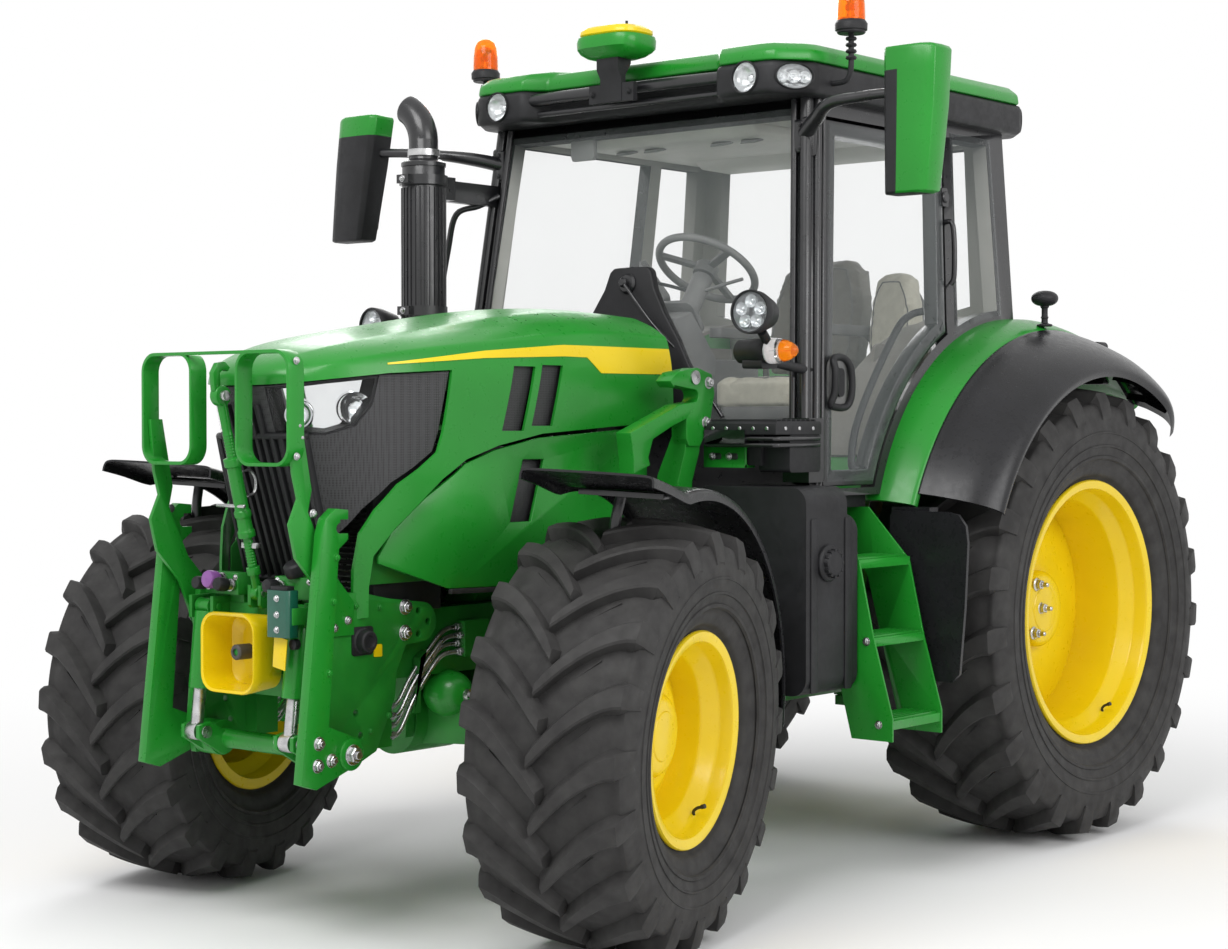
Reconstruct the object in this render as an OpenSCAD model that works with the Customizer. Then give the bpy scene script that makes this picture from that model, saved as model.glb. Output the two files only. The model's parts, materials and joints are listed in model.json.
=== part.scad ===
/* [Wheels] */
// Distance between the front and the rear axle
wheelbase = 2580; // [2560:5:2600]
// Rear tyre diameter over the lugs
rear_tyre_d = 1745; // [1730:5:1755]
// Rear tyre section width
rear_tyre_w = 600; // [580:5:605]
// Rear rim diameter over the flanges
rear_rim_d = 1016; // [1000:2:1030]
// Distance between the rear tyre centres
rear_track = 1792; // [1788:2:1800]
// Front tyre diameter over the lugs
front_tyre_d = 1312; // [1300:2:1320]
// Front tyre section width
front_tyre_w = 540; // [520:5:545]
// Front rim diameter over the flanges
front_rim_d = 661; // [650:1:670]
// Distance between the front tyre centres
front_track = 1870; // [1864:2:1876]

/* [Steering] */
// Steering angle at rest, to the left
steer_rest = 14.4; // [0:0.2:18]
// Rearward lean of the kingpins
caster = 13; // [8:1:15]
// Sideways distance of a kingpin from the middle
kingpin_x = 780; // [775:1:785]

/* [Hood] */
// Width of the hood
hood_w = 860; // [850:2:870]
// Height of the hood crest
hood_top_z = 1998; // [1985:1:2010]
// Wall of the hood
hood_t = 12; // [8:1:16]

/* [Cab] */
// Height of the cab floor
floor_z = 1345; // [1340:1:1350]
// Height of the underside of the roof
roof_z = 2737; // [2720:1:2750]
// Width of the cab at the floor
cab_low_w = 1680; // [1670:2:1690]
// Width of the cab under the roof
cab_top_w = 1470; // [1460:2:1480]
// Thickness of the pillars and walls of the cab
wall_t = 60; // [50:1:65]
// Thickness of the panes
pane_t = 6; // [5:0.5:8]

/* [Fenders] */
// Outer radius of the rear fenders
fender_r = 1130; // [1125:1:1135]
// Height of the front fenders over the tyres
front_fender_gap = 94; // [88:1:96]

/* [Hitches] */
// Length of the rear lower links
link_len = 690; // [680:2:700]
// Bore of the ball ends of the rear lower links
ball_bore = 37; // [28:1:38]
// Diameter of the splined drive shaft stubs
pto_d = 35; // [30:1:45]
// Bore of the drawbar pin
drawbar_bore = 33; // [28:1:40]

/* [Hidden] */
$fn = 64;

green = [0.06, 0.42, 0.10];
yellow = [0.98, 0.80, 0.02];
black = [0.07, 0.07, 0.08];
beige = [0.55, 0.52, 0.46];

// Axles
ry = 1200;
fy = ry - wheelbase;
rz = rear_tyre_d / 2;
fz = front_tyre_d / 2;
hub_offset = front_track / 2 - kingpin_x;
front_fender_r = front_tyre_d / 2 + front_fender_gap;
steer_axis = [0, sin(caster), cos(caster)];
axle_tilt = asin(hub_offset * sin(caster) * sin(steer_rest) / (kingpin_x + hub_offset * cos(steer_rest)));
gap = 6;

// Outer face of the cab's side wall at a height
function pillar_x(z) = (cab_low_w + (cab_top_w - cab_low_w) * (z - floor_z) / (roof_z - floor_z)) / 2;

// Plain shapes
module box(x0, x1, y0, y1, z0, z1) {
    translate([x0, y0, z0]) cube([x1 - x0, y1 - y0, z1 - z0]);
}

module pair() {
    children();
    mirror([1, 0, 0]) children();
}

// Outline of y and z drawn out along x
module along_x(x0, x1) {
    translate([x0, 0, 0]) rotate([90, 0, 90]) linear_extrude(x1 - x0) children();
}

// Outline of x and z drawn out along y
module along_y(y0, y1) {
    translate([0, y1, 0]) rotate([90, 0, 0]) linear_extrude(y1 - y0) children();
}

module along_z(z0, z1) {
    translate([0, 0, z0]) linear_extrude(z1 - z0) children();
}

module rod(p, q, d) {
    v = q - p;
    length = norm(v);
    translate(p) rotate([0, acos(v.z / length), atan2(v.y, v.x)]) cylinder(d = d, h = length);
}

module bar(p, q, w, h) {
    v = q - p;
    length = norm(v);
    translate(p) rotate([0, acos(v.z / length), atan2(v.y, v.x)])
        translate([-w / 2, -h / 2, 0]) cube([w, h, length]);
}

module tube_path(points, d) {
    for (i = [0 : len(points) - 2]) {
        rod(points[i], points[i + 1], d);
        translate(points[i + 1]) sphere(d = d * 1.04);
    }
}

module rounded(w, h, r) {
    square([w - 2 * r, h], center = true);
    square([w, h - 2 * r], center = true);
    for (x = [-1, 1], y = [-1, 1])
        translate([x * (w / 2 - r), y * (h / 2 - r)]) circle(r);
}

// Ring turned about the x axis, from an outline of radius and x
module turned(y, z, a0, a1) {
    translate([0, y, z]) rotate([a0, 0, 0]) rotate([90, 0, 90])
        rotate_extrude(angle = a1 - a0) children();
}

// Frame of one steered front corner, with x pointing outwards from the kingpin
module corner(side) {
    translate([0, fy, fz]) rotate([0, -axle_tilt, 0]) translate([side * kingpin_x, 0, 0])
        rotate(a = steer_rest, v = steer_axis) mirror([side < 0 ? 1 : 0, 0, 0]) children();
}

module kingpin_frame() {
    rotate([-caster, 0, 0]) children();
}

// Wheels
lug_w = 58;
shoulder_w = 72;
front_lugs = 20;
front_lug_h = 40;
rear_lugs = 23;
rear_lug_h = 46;
bead_drop = 25;
flange_t = 12;
seat_gap = 0.5;

// Prism on an outline of x and arc length, on the tangent plane at an arc length, its top falling outwards
module lug_leg(outline, at, r, low, high, fall) {
    rotate([-at / r * 180 / PI, 0, 0]) translate([0, -at, high]) rotate([0, fall, 0])
        translate([0, 0, low - high]) linear_extrude(high - low) polygon(outline);
}

// One lug of a half row, swept back from the middle of the tread out to its shoulder
module lug(r, w, lug_h) {
    nose = [-0.03 * w, 0];
    knee = [0.24 * w, 0.28 * w];
    tip = [0.49 * w, 0.4 * w];
    lug_leg([nose - [0, lug_w / 2], knee - [0, lug_w / 2], knee + [0, lug_w / 2], nose + [0, lug_w / 2]],
        0.15 * w, r, r - lug_h - 40, r - 0.018 * w, 3);
    lug_leg([knee - [2, lug_w / 2], tip - [0, shoulder_w / 2], tip + [0, shoulder_w / 2],
        knee + [-2, lug_w / 2]],
        0.34 * w, r, r - 0.2 * w, r + 0.015 * w, 9);
}

module tyre(d, w, rim_d, lugs, lug_h) {
    r = d / 2;
    base_r = r - lug_h;
    bead_r = rim_d / 2 - bead_drop;
    bead_w = w * 0.4 - flange_t;
    wall_r = (r + rim_d / 2) / 2;
    half = [[bead_r + seat_gap, bead_w], [rim_d / 2 + 6, bead_w], [rim_d / 2 + 62, w * 0.45],
        [wall_r - 30, w * 0.497], [wall_r + 30, w * 0.497], [base_r - 50, w * 0.46],
        [base_r - 22, w * 0.41], [base_r, w * 0.17]];
    turned(0, 0, 0, 360) polygon(concat([for (p = half) [p.x, -p.y]],
        [for (i = [len(half) - 1 : -1 : 0]) half[i]]));
    for (i = [0 : lugs - 1]) {
        rotate([360 * i / lugs, 0, 0]) lug(r, w, lug_h);
        mirror([1, 0, 0]) rotate([360 * (i + 0.5) / lugs, 0, 0]) lug(r, w, lug_h);
    }
}

module rim(d, w, disc_x, hub_r, hub_in, hub_out) {
    r = d / 2;
    in_w = w * 0.4 - flange_t;
    out_w = w * 0.4;
    seat_r = r - bead_drop;
    well_r = seat_r - 45;
    well_w = in_w * 0.55;
    t = 12;
    color(yellow) turned(0, 0, 0, 360) {
        polygon([[r, -out_w], [r, -in_w], [seat_r, -in_w], [seat_r - 6, -well_w - 40], [well_r, -well_w],
            [well_r, well_w], [seat_r - 6, well_w + 40], [seat_r, in_w], [r, in_w], [r, out_w],
            [seat_r - t, out_w], [seat_r - t - 6, well_w + 46], [well_r - t, well_w + 6],
            [well_r - t, -well_w - 6], [seat_r - t - 6, -well_w - 46], [seat_r - t, -out_w]]);
        polygon([[well_r - t / 2, disc_x - 40], [well_r - t / 2, disc_x - 40 + t], [hub_r + 60, disc_x + t],
            [hub_r - 1, disc_x + t], [hub_r - 1, disc_x], [hub_r + 56, disc_x]]);
        polygon([[0, hub_in], [hub_r, hub_in], [hub_r, hub_out - 30], [hub_r - 30, hub_out], [0, hub_out]]);
    }
}

rear_hub_r = 150;
front_hub_r = 130;
hub_in_front = 100 - hub_offset;

module rear_wheel_place(side) {
    translate([side * rear_track / 2, ry, rz]) mirror([side < 0 ? 1 : 0, 0, 0]) children();
}

module front_wheel_place(side) {
    corner(side) translate([hub_offset, 0, 0]) children();
}

module front_tyre() {
    color(black) tyre(front_tyre_d, front_tyre_w, front_rim_d, front_lugs, front_lug_h);
}

module rear_tyre() {
    color(black) tyre(rear_tyre_d, rear_tyre_w, rear_rim_d, rear_lugs, rear_lug_h);
}

module tyre_front_left() { front_wheel_place(1) front_tyre(); }
module tyre_front_right() { front_wheel_place(-1) front_tyre(); }
module tyre_rear_left() { rear_wheel_place(1) rear_tyre(); }
module tyre_rear_right() { rear_wheel_place(-1) rear_tyre(); }

module front_rim() { rim(front_rim_d, front_tyre_w, 60, front_hub_r, hub_in_front, 110); }
module rear_rim() { rim(rear_rim_d, rear_tyre_w, -30, rear_hub_r, rear_hub_in, 40); }

module rim_front_left() { front_wheel_place(1) front_rim(); }
module rim_front_right() { front_wheel_place(-1) front_rim(); }
module rim_rear_left() { rear_wheel_place(1) rear_rim(); }
module rim_rear_right() { rear_wheel_place(-1) rear_rim(); }

// Front axle and knuckles
eye_d = 150;
eye_h = 200;
kingpin_d = 60;
pin_play = 1;
arm_t = 35;
pinion_x = 60;
pinion_d = 150;
hanger_y = 155;
hanger_t = 36;

module front_axle() {
    color(green) translate([0, fy, fz]) rotate([0, -axle_tilt, 0]) {
        pair() difference() {
            union() {
                translate([kingpin_x, 0, 0]) kingpin_frame() cylinder(d = eye_d, h = eye_h, center = true);
                along_y(-70, 70) polygon([[0, -105], [0, 95], [260, 70], [kingpin_x, 60], [kingpin_x, -60],
                    [260, -85]]);
            }
            translate([kingpin_x, 0, 0]) kingpin_frame() {
                cylinder(d = kingpin_d + pin_play, h = eye_h + 2, center = true);
                translate([eye_d / 2, -eye_d, -eye_h]) cube([eye_d, 2 * eye_d, 2 * eye_h]);
            }
        }
        rod([pinion_x, -125, -10], [pinion_x, 120, -10], 236);
        rod([pinion_x, 0, -10], [pinion_x, 330, -10], pinion_d);
        rod([pinion_x, 300, -10], [pinion_x, engine_y1 - fy, -10], 70);
        rod([0, hanger_t / 2 - hanger_y, 0], [0, 0, 0], 100);
    }
}

module knuckle_shape() {
    kingpin_frame() {
        for (s = [-1, 1]) mirror([0, 0, s < 0 ? 1 : 0]) {
            translate([0, 0, eye_h / 2 + 5]) cylinder(d = eye_d, h = arm_t);
            translate([0, 0, 30]) cylinder(d = kingpin_d, h = eye_h / 2 + 5 - 30 + arm_t);
            box(0, 95, -eye_d / 2, eye_d / 2, eye_h / 2 + 5, eye_h / 2 + 5 + arm_t);
        }
        box(eye_d / 2 + 6, 95, -110, 110, -eye_h / 2 - 5 - arm_t, eye_h / 2 + 5 + arm_t);
    }
}

module knuckle_left() { color(green) corner(1) knuckle_shape(); }
module knuckle_right() { color(green) corner(-1) knuckle_shape(); }

// Front fenders on the knuckles
fender_t = 10;
fender_a0 = -4;
fender_a1 = 100;
fender_steps = 18;
fender_in_x = hub_offset - 225;
fender_out_x = hub_offset + 215;

function arc(r, a0, a1, n) = [for (i = [0 : n]) let (a = a0 + (a1 - a0) * i / n) [r * cos(a), r * sin(a)]];

module front_fender() {
    top_out = front_fender_r + fender_t;
    lead = [-360, front_fender_r * sin(fender_a1) + 60];
    lower = arc(front_fender_r, fender_a0, fender_a1, fender_steps);
    upper = arc(top_out, fender_a1, fender_a0, fender_steps);
    color(black) {
        along_x(fender_in_x, fender_out_x) polygon(concat(lower, [lead, lead + [0, fender_t]], upper));
        stay_x = fender_in_x - 70;
        stay_z = eye_h / 2 + 5 + arm_t;
        kingpin_frame() box(-120, 30, -50, 50, stay_z, stay_z + 14);
        tube_path([[-100, stay_z * sin(caster), stay_z + 5], [stay_x, 60, stay_z + 40], [stay_x, 90, 690],
            [fender_in_x + 30, 90, front_fender_r - 2]], 30);
    }
}

module front_fender_left() { corner(1) front_fender(); }
module front_fender_right() { corner(-1) front_fender(); }

// Chassis
rail_in = 190;
rail_out = 250;
engine_y0 = fy + 90;
engine_y1 = -370;
engine_w = 262;
frame_y0 = fy - 570;
frame_y1 = fy + 230;
frame_z0 = 800;
frame_z1 = 1010;
trans_w = 260;
rear_hw = 255;
rear_face_y = 1435;
rear_hub_in = 640 - rear_track / 2;

module front_frame() {
    color(green) {
        difference() {
            box(-rail_out, rail_out, frame_y0, frame_y1, frame_z0, frame_z1);
            box(-rail_in, rail_in, frame_y0 + 60, frame_y1 + 1, frame_z0 + 60, frame_z1 + 1);
        }
        difference() {
            for (s = [-1, 1]) translate([0, fy + s * hanger_y, 0]) along_y(-hanger_t / 2, hanger_t / 2)
                polygon([[-175, fz - 60], [175, fz - 60], [190, frame_z0 + 1], [-190, frame_z0 + 1]]);
            rod([pinion_x, fy, fz - 10], [pinion_x, fy + 2 * hanger_y, fz - 10], pinion_d + 20);
        }
        pair() box(rail_in, rail_out, frame_y1 - 1, engine_y1, frame_z0 - 20, frame_z1 - 40);
    }
}

module engine_block() {
    color(black) {
        box(-rail_in, rail_in, engine_y0 + 160, engine_y1, 740, frame_z1);
        box(-engine_w, engine_w, engine_y0, engine_y1, frame_z1, 1480);
    }
}

module cooling_pack() {
    color(black) box(-285, 285, fy - 420, fy - 120, frame_z1, 1560);
}

// Housing along the tractor with sloped lower corners and broken top edges
module casting(y0, y1, half_w, z0, z1) {
    low = 70;
    top = 12;
    pair() along_y(y0, y1) polygon([[0, z0], [half_w - low, z0], [half_w, z0 + low], [half_w, z1 - top],
        [half_w - top, z1], [0, z1]]);
}

module transaxle() {
    side_z = 790;
    color(green) {
        casting(engine_y1, 320, 230, 560, 1080);
        casting(300, 920, trans_w, 520, 1150);
        casting(900, rear_face_y, rear_hw, 560, 1230);
        pair() {
            translate([rear_hw - 5, ry, rz]) rotate([0, 90, 0])
                cylinder(d1 = 330, d2 = 240, h = 640 - gap - rear_hw + 5);
            box(220, tank_in, engine_y1 + 10, engine_y1 + 110, side_z - 40, side_z + 40);
        }
    }
}

// Hood
hood_rear_y = -500;
crest_y = -816;
nose_y = fy - 715;
hood_hw = hood_w / 2;
lip_z = hood_top_z - 287;
hood_low_z = 1105;
split = [[hood_rear_y, 1604], [-781, 1589], [fy + 200, 1564], [fy - 3, 1527], [fy - 139, 1485],
    [fy - 293, 1378], [fy - 404, 1279], [fy - 465, 1190], [fy - 470, 1130]];

// Half outline of the hood seen from above, moved in by t
function hood_plan(t) = [[0, nose_y + t], [160, nose_y + 22 + t], [235 - t / 2, nose_y + 80 + t],
    [300 - t, nose_y + 165], [360 - t, nose_y + 270], [408 - t, nose_y + 470], [hood_hw - t, nose_y + 800],
    [hood_hw - t, hood_rear_y + t], [0, hood_rear_y + t]];

// Side outline of the hood, with its top lowered by t
function hood_side(t) = [[hood_rear_y + t, hood_top_z - 14 - t], [crest_y, hood_top_z - t],
    [-1150, hood_top_z - 30 - t], [fy - 440, hood_top_z - 148 - t], [fy - 610, hood_top_z - 196 - t],
    [nose_y + 30 + t, lip_z + 46 - t], [nose_y + t, lip_z - t / 2], [nose_y + 20 + t, lip_z - 40],
    [fy - 500 + 1.17 * t, hood_low_z - t / 2], [fy - 455, hood_low_z - t / 2]];

// Half cross-section of the hood, moved in by t
function hood_section(t) = [[0, hood_top_z - t], [200, hood_top_z - 20 - t],
    [330 - t / 2, hood_top_z - 70 - t], [hood_hw - 25 - t, hood_top_z - 135 - t],
    [hood_hw - t, hood_top_z - 230], [hood_hw - t, 900], [0, 900]];

crown_slope = 3.2;

module hood_solid(t) {
    intersection() {
        along_x(-hood_hw, hood_hw) polygon(concat(hood_side(t),
            [for (i = [len(split) - 1 : -1 : 0]) split[i] + [i == 0 ? t : 0, -t / 2]]));
        pair() along_z(1000, hood_top_z + 60) polygon(hood_plan(t));
        pair() translate([0, crest_y, hood_top_z]) rotate([crown_slope, 0, 0]) translate([0, 0, -hood_top_z])
            along_y(nose_y - crest_y - 300, 600) polygon(hood_section(t));
    }
}

module hood_wall() {
    difference() {
        hood_solid(0);
        difference() {
            hood_solid(hood_t);
            box(-hood_hw, hood_hw, hood_rear_y - 30, hood_rear_y + 1, hood_top_z - 60, hood_top_z + 60);
        }
    }
}

// Black front and sides of the nose, in side view
grille_top = [[nose_y - 50, lip_z - 5], [nose_y + 5, lip_z + 2], [fy - 578, lip_z + 20],
    [fy - 420, lip_z + 39], [fy - 192, lip_z + 52]];
grille_low = [[fy - 234, 1572], [fy - 256, 1508], [fy - 324, 1457], [fy - 395, 1412], [fy - 466, 1334],
    [fy - 506, 1264], [fy - 512, 1150]];

module grille_zone() {
    along_x(-hood_hw - 10, hood_hw + 10) polygon(concat(grille_top, grille_low, [[fy - 512, 1000],
        [nose_y - 50, 1000]]));
}

module lamp_zone() {
    pair() along_x(125, hood_hw) polygon([[nose_y - 50, lip_z - 21], [nose_y + 5, lip_z - 11],
        [fy - 578, lip_z + 10], [fy - 442, lip_z + 27], [fy - 459, 1655], [fy - 501, 1592],
        [fy - 570, 1566], [fy - 653, 1568], [fy - 698, 1600], [nose_y - 50, 1650]]);
}

// Slanted air outlet through both sides, from its top corner down to a height
module vent(top, low_z) {
    run = (top.y - low_z) * vent_slant;
    pair() along_x(hood_hw - 60, hood_hw + 10) polygon([top, top - [vent_w, 0],
        [top.x - vent_w - run, low_z], [top.x - run, low_z]]);
}

seam = 0.2;
vent_w = 100;
vent_h = 200;
vent_slant = 0.31;
vents = [[fy + 174, 1780], [fy + 307, 1786]];
low_vent = [fy + 227, 1481];

module hood_shell() {
    color(green) difference() {
        hood_wall();
        for (shift = [[0, 0, seam], [0, seam, 0], [0, seam, -seam]]) translate(shift) grille_zone();
        for (v = vents) vent(v, v.y - vent_h);
    }
}

slat_t = 12;
slat_pitch = 33;
slat_proud = 14;

// Upright slats on the leaning front
module slats() {
    top = [nose_y + 20, lip_z - 52];
    low = [fy - 520, hood_low_z + 50];
    for (i = [-4 : 4]) along_x(i * slat_pitch - slat_t / 2, i * slat_pitch + slat_t / 2)
        polygon([top + [8, 0], top - [slat_proud - 6, 0], low - [slat_proud, 0], low + [4, 0]]);
}

module grille() {
    color(black) difference() {
        union() {
            intersection() {
                hood_wall();
                grille_zone();
            }
            slats();
        }
        lamp_zone();
    }
}

module headlamps() {
    color("gainsboro") intersection() {
        hood_wall();
        grille_zone();
        lamp_zone();
    }
}

// Fixed lower side panels
panel_t = 12;
panel_x = 398;
split_gap = 14;

// Panel under the hood's edge, drawing in with the nose at its front end
module side_panels() {
    rear_y = -620;
    bend_y = fy - 180;
    tip = [340, fy - 448];
    top = [for (i = [1 : len(split) - 3]) split[i] - [0, split_gap]];
    color(green) {
        difference() {
            pair() intersection() {
                along_x(0, panel_x + panel_t) polygon(concat([[rear_y, top[0].y]], top, [[tip.y, 1190],
                    [tip.y, 1170], [fy - 210, 1085], [rear_y, 1062]]));
                along_z(1000, 1700) polygon([[panel_x, rear_y], [panel_x, bend_y], tip - [panel_t, 0],
                    tip, [panel_x + panel_t, bend_y], [panel_x + panel_t, rear_y]]);
            }
            vent(low_vent, low_vent.y - vent_h);
        }
        pair() for (y = [fy + 200, -700]) box(engine_w, panel_x, y, y + 40, 1090, 1130);
    }
}

// Tank, battery box and steps on the left and right
tank_in = 540;
tank_out = 1000;
tank_y0 = fy + 865;
tank_y1 = -212;
tank_z0 = 690;
tank_z1 = 1385;

module tank_shape() {
    low_z1 = floor_z - floor_t - 10;
    w = tank_out - tank_in;
    translate([(tank_in + tank_out) / 2, 0, 0]) {
        along_y(tank_y0, front_low_y - 8) translate([0, (tank_z0 + tank_z1) / 2]) rounded(w,
            tank_z1 - tank_z0, 60);
        along_y(front_low_y - 9, tank_y1) translate([0, (tank_z0 + low_z1) / 2]) rounded(w,
            low_z1 - tank_z0, 60);
    }
}

module fuel_tank() { color(black) tank_shape(); }
module battery_box() { color(black) mirror([1, 0, 0]) tank_shape(); }

step_y0 = -200;
step_y1 = 120;
step_t = 8;
step_z = [560, 838, 1101];
step_x = [980, 910, 850];
step_depth = 150;

module steps() {
    color(green) {
        for (y = [step_y0, step_y1 - step_t]) along_y(y, y + step_t) polygon([[970, 520], [1135, 520],
            [1135, 600], [1060, 860], [1000, 1120], [830, floor_z - floor_t], [700, floor_z - floor_t],
            [830, 1050]]);
        for (i = [0 : 2]) box(step_x[i], step_x[i] + step_depth, step_y0, step_y1, step_z[i], step_z[i] + 30);
    }
}

// Cab
lean_side = atan((cab_low_w - cab_top_w) / 2 / (roof_z - floor_z));
front_low_y = -267;
front_top_y = -108;
lean_front = atan((front_top_y - front_low_y) / (roof_z - floor_z));
cab_rear_y = 1200;
side_len = (roof_z - floor_z) / cos(lean_side);
front_len = (roof_z - floor_z) / cos(lean_front);
floor_t = 45;
floor_rear_hw = 555;
sill = 25;
head = 57;
post = 75;
b_post_y = 700;
b_post_w = 70;

// Frame on the outside of the left cab wall, with z up along the wall
module side_plane() {
    translate([cab_low_w / 2, 0, floor_z]) rotate([0, -lean_side, 0]) children();
}

module front_plane() {
    translate([0, front_low_y, floor_z]) rotate([-lean_front, 0, 0]) children();
}

function front_y(s) = front_low_y + (front_top_y - front_low_y) * s / side_len;

// What stands in front of the cab's front wall
module before_front() {
    difference() {
        children();
        front_plane() box(-1000, 1000, 0, 600, -200, 1800);
    }
}

// Fender clearance in the wall's outline
module wheel_round(r) {
    translate([ry, rz - floor_z]) circle(r);
}

function door_points(t) = [[front_y(sill) + post + t, sill + t], [b_post_y - t, sill + t],
    [b_post_y - t, 640], [b_post_y + 52 - t, side_len - head - t],
    [front_y(side_len - head) + post + t, side_len - head - t]];

module door_outline(t) {
    difference() {
        polygon(door_points(t));
        wheel_round(fender_r + 42 + t);
    }
}

module quarter_outline(t) {
    difference() {
        polygon([[b_post_y + b_post_w + t, 500], [b_post_y + b_post_w + 52 + t, side_len - head - t],
            [cab_rear_y - 130 - t, side_len - head - t], [cab_rear_y - 120 - t, 500]]);
        wheel_round(fender_r + 42 + t);
    }
}

module side_wall() {
    difference() {
        side_plane() along_x(-wall_t, 0) difference() {
            polygon([[front_low_y, 0], [cab_rear_y, 0], [cab_rear_y, side_len], [front_top_y, side_len]]);
            door_outline(0);
            quarter_outline(0);
        }
        translate([0, ry, rz]) rotate([0, 90, 0]) cylinder(r = fender_r + seat_gap, h = 2000, center = true);
    }
}

screen_sill = 262;

module front_wall() {
    low = cab_low_w / 2 - 5;
    top = cab_top_w / 2 - 5;
    front_plane() along_y(0, wall_t) difference() {
        polygon([[-low, 0], [low, 0], [top, front_len], [-top, front_len]]);
        screen_outline(0);
    }
}

module screen_outline(t) {
    low = cab_low_w / 2 - post;
    top = cab_top_w / 2 - post;
    polygon([[-low - t, screen_sill - t], [low + t, screen_sill - t], [top + t, front_len - head + t],
        [-top - t, front_len - head + t]]);
}

module rear_outline(t) {
    polygon([[-500 - t, 1700 - t], [500 + t, 1700 - t], [500 + t, 2030], [630 + t, 2060],
        [600 + t, 2680 + t], [-600 - t, 2680 + t], [-630 - t, 2060], [-500 - t, 2030]]);
}

module rear_wall() {
    wide_z = rz + fender_r + 2;
    along_y(cab_rear_y - wall_t, cab_rear_y) difference() {
        polygon([[-floor_rear_hw, floor_z], [floor_rear_hw, floor_z], [floor_rear_hw, wide_z],
            [780, wide_z], [cab_top_w / 2 - 5, roof_z], [-cab_top_w / 2 + 5, roof_z], [-780, wide_z],
            [-floor_rear_hw, wide_z]]);
        rear_outline(0);
    }
}

module cab_frame() {
    color(black) {
        difference() {
            union() {
                pair() side_wall();
                front_wall();
                rear_wall();
            }
            box(-cab_low_w, cab_low_w, front_low_y - 50, cab_rear_y + 50, floor_z - 50, floor_z);
        }
        before_front() box(610, 780, -560, 0, 1530, 1575);
    }
}

module cab_floor() {
    color(black) {
        box(-cab_low_w / 2 + 40, cab_low_w / 2 - 40, front_low_y, 140, floor_z - floor_t, floor_z);
        box(-floor_rear_hw, floor_rear_hw, 130, cab_rear_y, floor_z - floor_t, floor_z);
        pair() translate([170, -60, 1080]) cylinder(d = 110, h = floor_z - floor_t - 1080);
        pair() translate([220, 1080, 1230]) cylinder(d = 110, h = floor_z - floor_t - 1230);
    }
}

pane_lap = 22;

module cab_glass() {
    color([0.7, 0.8, 0.8, 0.4]) {
        front_plane() along_y(-pane_t, 0) screen_outline(pane_lap);
        mirror([1, 0, 0]) side_plane() along_x(0, pane_t) door_outline(-pane_lap);
        pair() side_plane() along_x(0, pane_t) quarter_outline(-pane_lap);
    }
}

door_gap = 10;
door_rim = 55;

module door_frame() {
    color(black) side_plane() along_x(-wall_t, 0) difference() {
        door_outline(door_gap);
        door_outline(door_gap + door_rim);
    }
}

module door_glass() {
    color([0.7, 0.8, 0.8, 0.4]) side_plane() along_x(0, pane_t) door_outline(door_gap + 14);
}

module rear_window() {
    color([0.7, 0.8, 0.8, 0.4]) along_y(cab_rear_y + gap, cab_rear_y + gap + pane_t) rear_outline(20);
}

// Roof
roof_base_h = 116;
roof_cap_h = 84;
cap_z0 = roof_z + roof_base_h;
cap_z1 = cap_z0 + roof_cap_h;
roof_y0 = -300;
roof_y1 = 1370;
roof_hw = 790;
recess_y = roof_y0 + 95;
pod_in = 460;
pod_out = 670;
pod_side_y = roof_y0 + 140;
lamp_d = 92;
bore_play = 1;
lamp_z = roof_z + 66;
lamp_deep = 60;
lamp_proud = 14;
inner_lamp_x = 575;
outer_lamp_d = 84;
pod_face = [roof_hw - pod_out, pod_side_y - roof_y0];
pod_normal = [pod_face.y, -pod_face.x, 0] / norm(pod_face);
outer_lamp = [(pod_out + roof_hw) / 2, (roof_y0 + pod_side_y) / 2, lamp_z];

// Half of the roof from above, with a lamp pod at the front corner, moved in by t
function roof_half(t) = [[0, recess_y + t], [pod_in - 60, recess_y + t], [pod_in, roof_y0 + t],
    [pod_out, roof_y0 + t], [roof_hw - t, pod_side_y], [roof_hw - t, roof_y1 - 105],
    [roof_hw - 90, roof_y1 - t], [0, roof_y1 - t]];

module lamp_bores(d, outer_d, proud) {
    rear_x = roof_hw - 130;
    pair() {
        rod([inner_lamp_x, roof_y0 - proud, lamp_z], [inner_lamp_x, roof_y0 + lamp_deep, lamp_z], d);
        rod([rear_x, roof_y1 + proud, lamp_z], [rear_x, roof_y1 - lamp_deep, lamp_z], d);
        rod(outer_lamp + proud * pod_normal, outer_lamp - lamp_deep / 2 * pod_normal, outer_d);
    }
}

module roof_base() {
    color(black) difference() {
        pair() along_z(roof_z, cap_z0) polygon(roof_half(0));
        lamp_bores(lamp_d + bore_play, outer_lamp_d + bore_play, lamp_proud);
    }
}

// Cap with its crown falling to all sides
module roof_shell() {
    edge = 40;
    color(green) intersection() {
        pair() along_z(cap_z0, cap_z1) polygon(roof_half(6));
        pair() along_y(roof_y0 - 1, roof_y1 + 1) polygon([[0, cap_z0], [roof_hw, cap_z0],
            [roof_hw, cap_z0 + edge], [roof_hw - 50, cap_z1 - 22], [roof_hw - 160, cap_z1 - 7],
            [0, cap_z1]]);
        along_x(-roof_hw, roof_hw) polygon([[roof_y0, cap_z0], [roof_y0, cap_z0 + edge],
            [roof_y0 + 60, cap_z1 - 18], [roof_y0 + 260, cap_z1], [roof_y1 - 260, cap_z1],
            [roof_y1 - 60, cap_z1 - 18], [roof_y1, cap_z0 + edge], [roof_y1, cap_z0]]);
    }
}

// Inside of the cab
module seats() {
    color(beige) {
        box(-170, 170, 620, 980, floor_z, 1640);
        box(-260, 260, 560, 1020, 1640, 1770);
        along_x(-250, 250) polygon([[920, 1770], [1010, 1770], [1110, 2300], [1030, 2300]]);
        box(330, 540, 560, 960, floor_z, 1700);
        box(330, 540, 900, 970, 1700, 2180);
    }
}

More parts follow.
